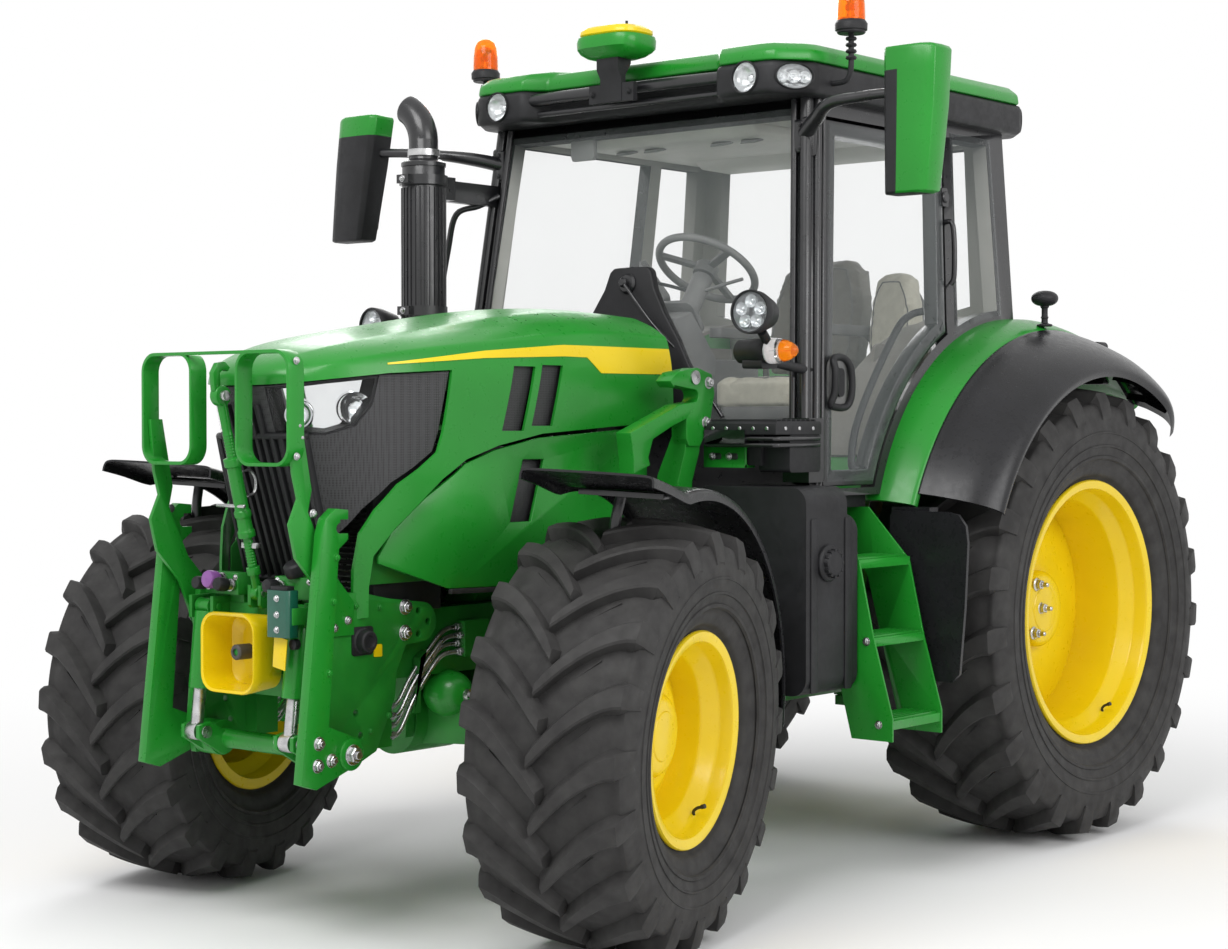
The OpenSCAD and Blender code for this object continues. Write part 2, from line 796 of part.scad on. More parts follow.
wheel_c = [0, 250, 2190];
column_low = [0, -20, 1800];
column_dir = (wheel_c - column_low) / norm(wheel_c - column_low);

module dash_console() {
    color(black) {
        along_x(-170, 170) polygon([[-172, floor_z], [20, floor_z], [90, 1840], [-60, 2010], [-165, 1980]]);
        rod(column_low, wheel_c - 40 * column_dir, 80);
        box(-545, -330, 480, 1040, floor_z, 1860);
    }
}

module steering_wheel() {
    tilt = acos(column_dir.z);
    color(black) translate(wheel_c) rotate([-tilt, 0, 0]) {
        rotate_extrude() translate([195, 0]) circle(d = 30);
        for (a = [90, 210, 330]) rotate([0, 0, a]) box(0, 195, -14, 14, -8, 8);
        translate([0, 0, -34]) cylinder(d = 90, h = 46);
    }
}

// Rear fenders and flares
fender_band = 25;
fender_front_a = 156;
fender_rear_a = 50;
fender_in = 560;
flare_x = 960;
flare_out = 1232;

module rear_fenders() {
    r = fender_r;
    color(green) pair() turned(ry, rz, fender_rear_a, fender_front_a) polygon([[r, fender_in], [r, 845],
        [r - 42, flare_x], [r - 42 - fender_band, flare_x], [r - fender_band, 840],
        [r - fender_band, fender_in + 10], [r - 330, fender_in + 10], [r - 330, fender_in]]);
}

module fender_flares() {
    r = fender_r - 42;
    color(black) pair() {
        turned(ry, rz, fender_rear_a, fender_front_a) polygon([[r, flare_x], [r - 32, 1060], [r - 70, 1145],
            [r - 105, 1195], [r - 155, flare_out], [r - 162, flare_out - 14], [r - 118, 1183],
            [r - 85, 1135], [r - 45, 1052], [r - fender_band, flare_x]]);
        box(880, 1205, 170, 184, 690, rz + (fender_r - 60) * sin(fender_front_a) - 20);
        box(880, 1040, 184, 240, 1270, 1300);
    }
}

// Exhaust, mirrors, beacons, receiver and lamps
stack_x = -720;
stack_y = -560;
stack_d = 160;

module exhaust() {
    pipe_y = -470;
    pipe_z = 1434;
    color(black) {
        rod([stack_x, stack_y, pipe_z - 40], [stack_x, stack_y, 2570], stack_d);
        rod([stack_x, stack_y, 2560], [stack_x, stack_y, 2660], 110);
        translate([stack_x - 150, stack_y, 2650]) rotate([90, 0, 0])
            rotate_extrude(angle = 62) translate([150, 0]) circle(d = 110);
        tube_path([[-engine_w, pipe_y, pipe_z], [stack_x + 30, pipe_y, pipe_z], [stack_x, stack_y, pipe_z]],
            78);
        before_front() box(stack_x - 26, stack_x + 8, stack_y, 0, 2440, 2520);
    }
}

mirror_h = 490;

module mirror_set(head_pos, root, elbow) {
    before_front() tube_path([root, elbow, head_pos + [-90, 0, 100]], 34);
    translate(head_pos) along_z(-mirror_h / 2, mirror_h / 2) rounded(210, 130, 30);
}

module mirrors() {
    color(green) {
        root = [pillar_x(2600) - 40, -110, 2600];
        mirror_set([1235, -215, 2605], root, [900, -240, 2690]);
        mirror([1, 0, 0]) mirror_set([1235, -400, 2560], root, [880, -280, 2640]);
    }
}

beacon_x = 868;

module beacons() {
    color("orange") pair() {
        rod([roof_hw, -60, roof_z + 50], [beacon_x, -60, roof_z + 50], 24);
        rod([beacon_x, -60, roof_z + 38], [beacon_x, -60, 2960], 24);
        translate([beacon_x, -60, 2950]) cylinder(d = 120, h = 40);
        translate([beacon_x, -60, 2990]) cylinder(d = 105, h = 80);
        translate([beacon_x, -60, 3070]) sphere(d = 105);
    }
}

module receiver() {
    shelf_z = cap_z1 + 4;
    color(yellow) {
        box(-110, 110, recess_y - 25, recess_y, roof_z + 25, shelf_z + 10);
        box(-110, 110, roof_y0 - 25, roof_y0 + 170, shelf_z, shelf_z + 10);
        translate([0, roof_y0 + 40, shelf_z + 9]) cylinder(d = 310, h = 55);
        translate([0, roof_y0 + 40, shelf_z + 63]) cylinder(d1 = 290, d2 = 230, h = 35);
    }
}

work_x = 885;
work_d = 140;

module lamps() {
    color("white") {
        lamp_bores(lamp_d, outer_lamp_d, lamp_proud);
        pair() {
            translate([work_x, -620, 1960]) rotate([90, 0, 0]) {
                cylinder(d = work_d, h = 55);
                mirror([0, 0, 1]) cylinder(d1 = work_d, d2 = 80, h = 55);
            }
            translate([work_x, 0, 1820]) along_y(-560, -440) rounded(120, 80, 38);
            rod([work_x, -600, 1900], [work_x, -480, 1850], 30);
            before_front() bar([work_x - 40, -500, 1800], [pillar_x(1775) - 22, -150, 1775], 30, 30);
        }
    }
}

// Front hitch
plate_in = 288;
plate_out = 312;
pivot = [0, fy - 605, 610];
hitch_y = fy - 600;
plate_hole_d = 22;
ear = [fy - 235, 978];
ear_r = 62;
plate_holes = [[ear.x - 16, ear.y + 36], [ear.x - 16, ear.y - 36], [ear.x + 26, ear.y], [fy - 500, 650],
    [fy - 520, 720]];

// Side plate with a rounded ear at its rear top corner
module plate_outline() {
    polygon([[ear.x, ear.y + ear_r], [ear.x, ear.y - ear_r], [fy - 305, ear.y - 66], [fy - 345, 835],
        [fy - 355, 750], [fy - 434, 595], [fy - 540, 552], [fy - 640, 560], [fy - 660, 660],
        [fy - 620, 1085], [fy - 500, 1085], [fy - 384, 1060]]);
    translate(ear) circle(ear_r);
}

module front_hitch_frame() {
    color(green) difference() {
        union() {
            pair() along_x(plate_in, plate_out) plate_outline();
            pair() box(rail_out, plate_in + 2, fy - 560, fy - 330, frame_z0 + 20, frame_z1 - 10);
            box(-plate_in - 2, plate_in + 2, hitch_y - 10, hitch_y + 30, 760, 1040);
            pair() for (x = [lift_x - 58, lift_x + 44]) box(x, x + 14, hitch_y - 80, hitch_y, 990, 1060);
            for (x = [-30, 16]) box(x, x + 14, hitch_y - 50, hitch_y, 1030, 1100);
            box(-60, 60, hitch_y - 10, hitch_y + 30, 1000, 1100);
            rod([0, hitch_y - 120, pto_z], [0, hitch_y + 10, pto_z], pto_d);
        }
        rod([-400, pivot.y, pivot.z], [400, pivot.y, pivot.z], 61);
        rod([-400, lift_top.x, lift_top.y], [400, lift_top.x, lift_top.y], 23);
        for (hole = plate_holes) rod([-400, hole.x, hole.y], [400, hole.x, hole.y], plate_hole_d);
    }
}

pto_z = 900;
lift_pin = [fy - 700, 640];
lift_pin_d = 24;
lift_eye_bore = 33;
lift_top = [hitch_y - 55, 1028];
arm_in = 342;
arm_out = 376;

hook = [fy - 642, 1286];
hook_d = 32;

// Folded lift arm with a hook that opens to the rear at its end
module arm_outline() {
    difference() {
        polygon([[fy - 800, 540], [fy - 740, 520], [fy - 560, 580], [fy - 560, 650], [fy - 690, 700],
            [fy - 647, 1225], [hook.x + 32, 1252], [hook.x + 32, 1340], [fy - 660, 1345], [fy - 700, 1315],
            [fy - 715, 1270]]);
        translate(hook) circle(d = hook_d);
        translate([hook.x, hook.y - hook_d / 2]) square(hook_d + 10);
    }
}

module front_lift_arms() {
    color(green) {
        rod([-arm_in - 1, pivot.y, pivot.z], [arm_in + 1, pivot.y, pivot.z], 60);
        pair() {
            rod([plate_in - 90, pivot.y, pivot.z], [plate_in - 6, pivot.y, pivot.z], 110);
            along_x(arm_in, arm_out) arm_outline();
            for (x = [lift_x - 36, lift_x + 36]) along_x(x - 8, x + 8) polygon([[pivot.y - 20, pivot.z - 50],
                [pivot.y + 30, pivot.z], [lift_pin.x + 20, lift_pin.y + 30],
                [lift_pin.x - 25, lift_pin.y + 20], [lift_pin.x - 25, lift_pin.y - 20]]);
            rod([lift_x - 45, lift_pin.x, lift_pin.y], [lift_x + 45, lift_pin.x, lift_pin.y], lift_pin_d);
        }
    }
}

lift_dir = (lift_pin - lift_top) / norm(lift_pin - lift_top);
lift_x = 215;
barrel_d = 72;
barrel_len = 240;

function lift_point(s) = [lift_x, lift_top.x + s * lift_dir.x, lift_top.y + s * lift_dir.y];

module lift_barrels() {
    color(green) pair() {
        difference() {
            union() {
                rod(lift_point(18), lift_point(18 + barrel_len), barrel_d);
                rod([lift_x - 30, lift_top.x, lift_top.y], [lift_x + 30, lift_top.x, lift_top.y], 50);
            }
            rod(lift_point(60), lift_point(300), 41);
        }
        rod([lift_x - 60, lift_top.x, lift_top.y], [lift_x + 60, lift_top.x, lift_top.y], 22);
    }
}

module lift_rods() {
    cylinder_len = norm(lift_pin - lift_top);
    color("silver") pair() difference() {
        union() {
            rod(lift_point(120), lift_point(cylinder_len - lift_eye_bore / 2 - 3), 40);
            rod([lift_x - 22, lift_pin.x, lift_pin.y], [lift_x + 22, lift_pin.x, lift_pin.y],
                lift_eye_bore + 25);
        }
        rod([lift_x - 30, lift_pin.x, lift_pin.y], [lift_x + 30, lift_pin.x, lift_pin.y], lift_eye_bore);
    }
}

loop_y0 = nose_y - 95;
loop_y1 = nose_y - 35;
loop_z0 = 1470;
loop_z1 = 1814;
loop_t = 10;
loop_post_t = 14;

module loop_outline(t) {
    w = 238;
    h = loop_z1 - loop_z0;
    rounded(w - 2 * t, h - 2 * t, 60 - t);
}

// Bent flat post that carries a loop from the side plate
module loop_post() {
    polygon([[hitch_y - 20, 960], [hitch_y + 60, 960], [hitch_y + 60, 1060], [hitch_y - 50, 1180],
        [hitch_y - 95, 1275], [hitch_y - 125, 1335], [loop_y1 + 40, 1400], [loop_y1 + 30, 1450],
        [loop_y1, 1610], [loop_y1 - 45, 1610], [loop_y1 - 30, 1450], [loop_y1 - 10, 1375],
        [loop_y1 - 45, 1300], [hitch_y - 170, 1200], [hitch_y - 80, 1100]]);
}

module front_guard() {
    color(green) pair() {
        along_y(loop_y0, loop_y1) translate([219, (loop_z0 + loop_z1) / 2]) difference() {
            loop_outline(0);
            loop_outline(loop_t);
        }
        along_x(plate_out, plate_out + loop_post_t) loop_post();
    }
    color(green) box(-165, 165, loop_y0, loop_y0 + 12, loop_z1 - loop_t, loop_z1);
}

module pto_shield() {
    color(yellow) difference() {
        translate([0, 0, pto_z]) along_y(hitch_y - 160, hitch_y - 10) rounded(240, 240, 55);
        translate([0, 0, pto_z]) along_y(hitch_y - 161, hitch_y - 18) rounded(224, 224, 47);
        rod([0, hitch_y - 160, pto_z], [0, hitch_y, pto_z], pto_d + 30);
    }
}

module front_top_link() {
    low = [0, hitch_y - 35, 1075];
    top = [0, loop_y1 - 30, 1680];
    color(green) {
        rod(low, low + 0.3 * (top - low), 26);
        rod(low + 0.25 * (top - low), low + 0.75 * (top - low), 46);
        rod(low + 0.7 * (top - low), top, 26);
        rod([-15, low.y, low.z], [15, low.y, low.z], 44);
        rod([-15, top.y, top.z], [15, top.y, top.z], 60);
    }
}

mouth = [-606, 1690];
mouth_d = 42;

// Loader catch in side view: a mouth open to the front, and an arm with a stop block below it
module catch_outline() {
    difference() {
        polygon([[-575, 1520], [-520, 1600], [-495, 1700], [-510, 1765], [-590, 1785], [-700, 1768],
            [-738, 1738], [-690, 1690], [-672, 1664], [-946, 1566], [-938, 1530], [-929, 1478],
            [-929, 1432], [-802, 1472], [-790, 1520], [-660, 1560], [-635, 1520]]);
        translate(mouth) circle(d = mouth_d);
        polygon([[mouth.x, mouth.y - mouth_d / 2], [mouth.x, mouth.y + mouth_d / 2],
            [mouth.x - 110, mouth.y + 34], [mouth.x - 110, mouth.y - 34]]);
    }
}

module loader_brackets() {
    color(green) pair() {
        along_y(-640, -560) polygon([[rail_out, 850], [rail_out, 960], [450, 1030], [470, 1420],
            [550, 1590], [600, 1590], [590, 1500], [560, 1400], [545, 960], [400, 880]]);
        along_x(540, 605) catch_outline();
    }
}

// Rear hitch
link_y = 1470;
link_z = 580;
lift_z = 1150;
lift_len = 400;
link_x = 300;
lift_x_in = 330;

module rear_hitch_frame() {
    color(green) difference() {
        union() {
            box(-240, 240, rear_face_y, 1500, 540, 1200);
            pair() box(230, 268, rear_face_y, link_y + 40, link_z - 50, link_z + 50);
            pair() box(230, 268, rear_face_y, link_y + 45, lift_z - 60, lift_z + 60);
            box(-50, 50, 1200, 1760, 420, 460);
            box(-90, 90, 1250, 1350, 455, 560);
            box(-90, 90, 1400, 1500, 455, 560);
            rod([0, 1490, 720], [0, 1590, 720], pto_d);
            pair() box(40, 56, 1500, 1570, 960, 1050);
        }
        translate([0, 1720, 400]) cylinder(d = drawbar_bore, h = 100);
        rod([-300, link_y, link_z], [300, link_y, link_z], 41);
        rod([-300, link_y, lift_z], [300, link_y, lift_z], 51);
    }
}

module rear_lower_links() {
    color(green) pair() {
        rod([220, link_y, link_z], [link_x + 15, link_y, link_z], 40);
        difference() {
            union() {
                box(link_x - 15, link_x + 15, link_y - 40, link_y + link_len, link_z - 38, link_z + 38);
                rod([link_x - 30, link_y + link_len, link_z], [link_x + 30, link_y + link_len, link_z], 84);
            }
            rod([link_x - 40, link_y + link_len, link_z], [link_x + 40, link_y + link_len, link_z],
                ball_bore);
        }
        rod([link_x, link_y + lift_len, link_z], [lift_x_in + 45, link_y + lift_len, link_z], 30);
    }
}

module rear_lift_arms() {
    color(green) {
        rod([-lift_x_in - 30, link_y, lift_z], [lift_x_in + 30, link_y, lift_z], 50);
        pair() {
            box(lift_x_in - 55, lift_x_in - 15, link_y - 50, link_y + lift_len + 40, lift_z - 40,
                lift_z + 40);
            rod([lift_x_in - 20, link_y + lift_len, lift_z], [lift_x_in + 45, link_y + lift_len, lift_z], 30);
        }
    }
}

module rear_lift_rods() {
    color(green) pair() difference() {
        union() {
            for (z = [link_z, lift_z]) rod([lift_x_in - 10, link_y + lift_len, z],
                [lift_x_in + 34, link_y + lift_len, z], 66);
            rod([lift_x_in + 12, link_y + lift_len, link_z + 20],
                [lift_x_in + 12, link_y + lift_len, lift_z - 20], 38);
        }
        for (z = [link_z, lift_z]) rod([lift_x_in - 60, link_y + lift_len, z],
            [lift_x_in + 60, link_y + lift_len, z], 31);
    }
}

front_frame();
engine_block();
cooling_pack();
transaxle();
front_axle();
side_panels();
fuel_tank();
battery_box();
steps();
cab_frame();
cab_floor();
roof_shell();
roof_base();
cab_glass();
seats();
dash_console();
rear_fenders();
fender_flares();
exhaust();
mirrors();
beacons();
receiver();
lamps();
front_hitch_frame();
front_guard();
pto_shield();
front_top_link();
loader_brackets();
rear_hitch_frame();
hood_shell();
grille();
headlamps();
door_frame();
door_glass();
rear_window();
steering_wheel();
knuckle_left();
knuckle_right();
front_fender_left();
front_fender_right();
tyre_front_left();
rim_front_left();
tyre_front_right();
rim_front_right();
tyre_rear_left();
rim_rear_left();
tyre_rear_right();
rim_rear_right();
front_lift_arms();
lift_barrels();
lift_rods();
rear_lower_links();
rear_lift_arms();
rear_lift_rods();
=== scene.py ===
import json
import math
import bpy
import bmesh
import numpy as np
from mathutils import Vector, Matrix


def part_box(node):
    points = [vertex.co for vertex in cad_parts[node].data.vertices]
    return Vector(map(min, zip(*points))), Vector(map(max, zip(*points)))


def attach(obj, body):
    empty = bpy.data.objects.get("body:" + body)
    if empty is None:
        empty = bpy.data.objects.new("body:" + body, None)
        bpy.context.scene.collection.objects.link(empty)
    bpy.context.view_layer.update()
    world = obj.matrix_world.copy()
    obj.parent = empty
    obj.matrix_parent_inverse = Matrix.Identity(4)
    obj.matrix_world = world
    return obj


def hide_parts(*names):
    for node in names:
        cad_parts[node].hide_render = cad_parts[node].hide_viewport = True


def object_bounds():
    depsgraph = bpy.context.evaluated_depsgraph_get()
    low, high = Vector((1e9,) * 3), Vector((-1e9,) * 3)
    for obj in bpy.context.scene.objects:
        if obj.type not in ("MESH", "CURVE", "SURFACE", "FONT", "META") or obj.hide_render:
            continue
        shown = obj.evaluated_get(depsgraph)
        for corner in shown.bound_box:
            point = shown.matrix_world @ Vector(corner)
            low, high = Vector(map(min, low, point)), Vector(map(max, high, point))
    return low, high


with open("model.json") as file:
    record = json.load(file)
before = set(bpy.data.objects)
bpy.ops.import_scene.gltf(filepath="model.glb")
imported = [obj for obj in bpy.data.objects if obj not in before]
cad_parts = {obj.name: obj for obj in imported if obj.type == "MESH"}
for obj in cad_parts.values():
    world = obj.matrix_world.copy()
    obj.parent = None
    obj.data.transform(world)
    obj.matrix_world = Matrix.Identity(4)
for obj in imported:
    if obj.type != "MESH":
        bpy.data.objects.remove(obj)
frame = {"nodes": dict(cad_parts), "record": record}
cad_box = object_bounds()
NODES = frame["nodes"]
BODY_OF = {n: b for b, members in frame["record"]["behaviour"]["bodies"].items() for n in members}

# Places shared with the part's source, in metres
RY, FY, RZ, FZ = 1.200, -1.380, 0.8725, 0.656
KINGPIN_X, FRONT_TRACK, REAR_TRACK = 0.780, 1.870, 1.792
CASTER, STEER = math.radians(13), math.radians(14.4)
HUB_OFFSET = FRONT_TRACK / 2 - KINGPIN_X
FLOOR_Z, ROOF_Z = 1.345, 2.737
SIDES = ((1, "left"), (-1, "right"))
EXHAUST_X, EXHAUST_Y = -0.720, -0.560
AERIAL_X, AERIAL_Y = 0.960, 1.144
SHAFT_Z = 0.900

# The photo's camera, in pixels and millimetres
PHOTO_FOCAL, PHOTO_WIDTH, SENSOR = 2250, 1228, 36.0

# Limits of the mesh work: welding distance, depth of bumps, frames of cloth
WELD, CAD_WELD, BUMP_DEPTH, CLOTH_FRAMES = 1e-5, 2e-5, 0.002, 20


# Materials
def shader(name):
    """A new material with its node tree and main shader."""
    m = bpy.data.materials.new(name)
    m.use_nodes = True
    nt = m.node_tree
    return m, nt, nt.nodes["Principled BSDF"]


def noise_node(nt, scale, detail=3.0, rough=0.55):
    """Noise over the object's own coordinates."""
    co = nt.nodes.new("ShaderNodeTexCoord")
    n = nt.nodes.new("ShaderNodeTexNoise")
    n.inputs["Scale"].default_value = scale
    n.inputs["Detail"].default_value = detail
    n.inputs["Roughness"].default_value = rough
    nt.links.new(co.outputs["Object"], n.inputs["Vector"])
    return n.outputs["Fac"]


def ramp_node(nt, fac, stops):
    """A colour ramp driven by a value."""
    r = nt.nodes.new("ShaderNodeValToRGB")
    el = r.color_ramp.elements
    while len(el) < len(stops):
        el.new(0.5)
    for e, (pos, col) in zip(el, stops):
        e.position = pos
        e.color = (*col, 1) if len(col) == 3 else col
    nt.links.new(fac, r.inputs["Fac"])
    return r.outputs["Color"]


def range_node(nt, fac, lo, hi):
    """Spreads the middle of a noise over a range."""
    r = nt.nodes.new("ShaderNodeMapRange")
    r.inputs["From Min"].default_value = 0.3
    r.inputs["From Max"].default_value = 0.7
    r.inputs["To Min"].default_value = lo
    r.inputs["To Max"].default_value = hi
    nt.links.new(fac, r.inputs["Value"])
    return r.outputs["Result"]


def bump(nt, p, height, strength):
    """Bends a shader's normals by a height."""
    b = nt.nodes.new("ShaderNodeBump")
    b.inputs["Strength"].default_value = strength
    b.inputs["Distance"].default_value = BUMP_DEPTH
    nt.links.new(height, b.inputs["Height"])
    nt.links.new(b.outputs["Normal"], p.inputs["Normal"])


def finish_material(name, dark, light, rough, tone=5.0, grain=0.0, grain_scale=500.0, metal=0.0, coat=0.0,
                    coat_rough=0.08, spec=0.5, sheen=0.0, patch=40.0):
    """A solid finish, uneven in tone and roughness, with grain where asked."""
    m, nt, p = shader(name)
    nt.links.new(ramp_node(nt, noise_node(nt, tone), [(0.32, dark), (0.68, light)]), p.inputs["Base Color"])
    nt.links.new(range_node(nt, noise_node(nt, patch), *rough), p.inputs["Roughness"])
    p.inputs["Metallic"].default_value = metal
    p.inputs["Coat Weight"].default_value = coat
    p.inputs["Coat Roughness"].default_value = coat_rough
    p.inputs["Specular IOR Level"].default_value = spec
    p.inputs["Sheen Weight"].default_value = sheen
    if grain:
        bump(nt, p, noise_node(nt, grain_scale, 2.0), grain)
    return m


GREEN = finish_material("green_enamel", (0.010, 0.200, 0.016), (0.014, 0.245, 0.022), (0.26, 0.36), tone=2.2,
                        grain=0.003, grain_scale=90, coat=0.10, spec=0.36)
# Green enamel darkened as painted shade, for sheets and plates that sit in shadow
GREEN_PAINTED_SHADE = finish_material("green_painted_shade", (0.012, 0.125, 0.016), (0.017, 0.155, 0.021), (0.30, 0.42),
                             tone=2.6, grain=0.05, grain_scale=260, coat=0.2)
GREEN_CAST = finish_material("green_cast", (0.010, 0.165, 0.016), (0.016, 0.225, 0.022), (0.36, 0.50), tone=7,
                             grain=0.16, grain_scale=120, coat=0.06, coat_rough=0.2, spec=0.36)
YELLOW = finish_material("yellow_enamel", (0.74, 0.53, 0.002), (0.82, 0.60, 0.004), (0.26, 0.36), tone=2.5,
                         grain=0.004, grain_scale=90, coat=0.15, spec=0.4)
BLACK = finish_material("black_moulding", (0.011, 0.011, 0.012), (0.018, 0.018, 0.020), (0.42, 0.56), tone=9,
                        grain=0.22, grain_scale=900, spec=0.28)
BLACK_PAINT = finish_material("black_satin", (0.008, 0.008, 0.009), (0.013, 0.013, 0.015), (0.26, 0.38),
                              tone=5, grain=0.05, grain_scale=300, coat=0.25)
RUBBER = finish_material("tyre_rubber", (0.019, 0.018, 0.018), (0.034, 0.033, 0.032), (0.60, 0.80), tone=14,
                         grain=0.35, grain_scale=420, patch=22, spec=0.36)
BLACK_SHEEN = finish_material("black_sheen", (0.010, 0.010, 0.011), (0.015, 0.015, 0.017), (0.24, 0.34),
                              tone=6, grain=0.05, grain_scale=220, spec=0.34)
TRIM = finish_material("seal_rubber", (0.012, 0.012, 0.012), (0.020, 0.020, 0.020), (0.5, 0.7), tone=20,
                       grain=0.2)
STEEL = finish_material("bare_steel", (0.42, 0.42, 0.43), (0.58, 0.58, 0.58), (0.22, 0.38), tone=30,
                        metal=1.0, grain=0.06, grain_scale=700)
CHROME = finish_material("chrome", (0.80, 0.80, 0.81), (0.88, 0.88, 0.88), (0.05, 0.10), tone=6, metal=1.0)
IRON = finish_material("cast_iron", (0.030, 0.031, 0.030), (0.060, 0.060, 0.058), (0.5, 0.7), tone=12,
                       grain=0.3, grain_scale=160)
LINING = finish_material("cab_lining", (0.40, 0.40, 0.37), (0.46, 0.455, 0.42), (0.55, 0.70), tone=6,
                         grain=0.25, grain_scale=700)
SEAT = finish_material("seat_cloth", (0.52, 0.50, 0.41), (0.60, 0.58, 0.48), (0.70, 0.85), tone=40, grain=0.5,
                       grain_scale=1400, sheen=0.3)
# Seat cloth darkened as painted shade, for pads and covers deep in the cab
SEAT_PAINTED_SHADE = finish_material("seat_cloth_painted_shade", (0.15, 0.14, 0.12), (0.19, 0.18, 0.155), (0.70, 0.85),
                             tone=40, grain=0.5, grain_scale=1400, sheen=0.3)
RED_PAINT = finish_material("red_knob", (0.40, 0.012, 0.010), (0.52, 0.020, 0.015), (0.30, 0.42), tone=12,
                            grain=0.05)
SCREEN = finish_material("dark_screen", (0.006, 0.007, 0.008), (0.012, 0.013, 0.015), (0.06, 0.12), tone=3,
                         coat=0.5)
BRIGHT = finish_material("lamp_reflector", (0.70, 0.71, 0.72), (0.86, 0.87, 0.88), (0.10, 0.20), tone=60,
                         metal=0.35, coat=0.4)
LILAC = finish_material("lilac_cap", (0.20, 0.07, 0.26), (0.27, 0.10, 0.34), (0.35, 0.48), tone=14, grain=0.1)
GREEN_TEAL = finish_material("valve_block_green", (0.004, 0.075, 0.045), (0.007, 0.100, 0.060), (0.30, 0.42),
                             tone=8, grain=0.08, grain_scale=200, coat=0.2)
GREY = finish_material("grey_moulding", (0.13, 0.13, 0.13), (0.18, 0.18, 0.175), (0.5, 0.62), tone=9,
                       grain=0.25, grain_scale=800)


def mesh_material():
    """Perforated black sheet: rows of small holes as colour and bump."""
    m, nt, p = shader("perforated_black")
    co = nt.nodes.new("ShaderNodeTexCoord")
    v = nt.nodes.new("ShaderNodeTexVoronoi")
    v.inputs["Scale"].default_value = 130
    v.inputs["Randomness"].default_value = 0.0
    nt.links.new(co.outputs["Object"], v.inputs["Vector"])
    nt.links.new(ramp_node(nt, v.outputs["Distance"],
                           [(0.28, (0.006, 0.006, 0.006)), (0.42, (0.030, 0.030, 0.032))]),
                 p.inputs["Base Color"])
    nt.links.new(range_node(nt, noise_node(nt, 60), 0.42, 0.58), p.inputs["Roughness"])
    bump(nt, p, v.outputs["Distance"], 0.6)
    return m


MESH_BLACK = mesh_material()


def clear_material(name, tint, rough=0.0, ior=1.45, weight=1.0, alpha=1.0):
    """Glass and lenses."""
    m, nt, p = shader(name)
    nt.links.new(ramp_node(nt, noise_node(nt, 1.5), [(0.3, tint), (0.7, [min(1, c * 1.02) for c in tint])]),
                 p.inputs["Base Color"])
    p.inputs["Transmission Weight"].default_value = weight
    p.inputs["Roughness"].default_value = rough
    p.inputs["IOR"].default_value = ior
    p.inputs["Alpha"].default_value = alpha
    return m


GLASS = clear_material("pane_glass", (0.62, 0.68, 0.68), rough=0.02, weight=0.0, alpha=0.055)
LENS = clear_material("lamp_lens", (0.95, 0.96, 0.96), ior=1.2)
LENS_SOLID = clear_material("lens_glass", (0.93, 0.95, 0.96), ior=1.45)
AMBER = clear_material("amber_lens", (0.98, 0.30, 0.01), rough=0.06, ior=1.3, weight=0.8)
RED_LENS = clear_material("red_lens", (0.65, 0.02, 0.01), rough=0.12, ior=1.3, weight=0.4)


# Mesh helpers
def add(name, verts, faces, mat, body, smooth=35.0):
    """A piece made of points and faces as they are."""
    me = bpy.data.meshes.new(name)
    me.from_pydata([tuple(v) for v in verts], [], [tuple(f) for f in faces])
    return place(name, me, mat, body, smooth)


def place(name, me, mat, body, smooth=35.0):
    """Links a mesh as a piece that rides on a body."""
    me.validate()
    slots = [p.material_index for p in me.polygons]
    me.materials.clear()
    for m in mat if isinstance(mat, (list, tuple)) else [mat]:
        me.materials.append(m)
    me.polygons.foreach_set("material_index", slots)
    obj = bpy.data.objects.new(name, me)
    bpy.context.scene.collection.objects.link(obj)
    shade(me, smooth)
    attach(obj, body)
    return obj


def shade(me, angle):
    """Smooth faces, with sharp edges above an angle."""
    me.polygons.foreach_set("use_smooth", [True] * len(me.polygons))
    me.set_sharp_from_angle(angle=math.radians(angle))
    me.update()


def normals_out(me):
    """Welds a mesh and turns its faces outward."""
    bm = bmesh.new()
    bm.from_mesh(me)
    bmesh.ops.remove_doubles(bm, verts=bm.verts, dist=WELD)
    bmesh.ops.recalc_face_normals(bm, faces=bm.faces)
    bm.to_mesh(me)
    bm.free()


def modified(obj, smooth=35.0):
    """Applies the object's modifiers to its mesh."""
    dg = bpy.context.evaluated_depsgraph_get()
    dg.update()
    me = bpy.data.meshes.new_from_object(obj.evaluated_get(dg), depsgraph=dg)
    obj.modifiers.clear()
    old = obj.data
    obj.data = me
    if old.users == 0:
        bpy.data.meshes.remove(old)
    shade(me, smooth)
    return obj


class Shape:
    """Collects verts and faces of many small solids for one piece."""

    def __init__(self):
        self.v, self.f, self.m = [], [], []

    def put(self, verts, faces, mat=0, at=None):
        k = len(self.v)
        self.v += [tuple(at @ Vector(p)) if at is not None else tuple(p) for p in verts]
        self.f += [tuple(i + k for i in f) for f in faces]
        self.m += [mat] * len(faces)
        return self

    def mesh(self, name):
        me = bpy.data.meshes.new(name)
        me.from_pydata(self.v, [], self.f)
        me.polygons.foreach_set("material_index", self.m)
        normals_out(me)
        return me

    def piece(self, name, mat, body, smooth=35.0, bevel=0.0, segs=2):
        me = self.mesh(name)
        obj = place(name, me, mat, body, smooth)
        if bevel:
            bevelled(obj, bevel, segs)
        return obj


def bevelled(obj, width, segs=2, angle=30.0, smooth=40.0):
    """Rounds the edges above an angle."""
    b = obj.modifiers.new("round", "BEVEL")
    b.width = width
    b.segments = segs
    b.limit_method = "ANGLE"
    b.angle_limit = math.radians(angle)
    b.miter_outer = "MITER_ARC"
    b.use_clamp_overlap = True
    return modified(obj, smooth)


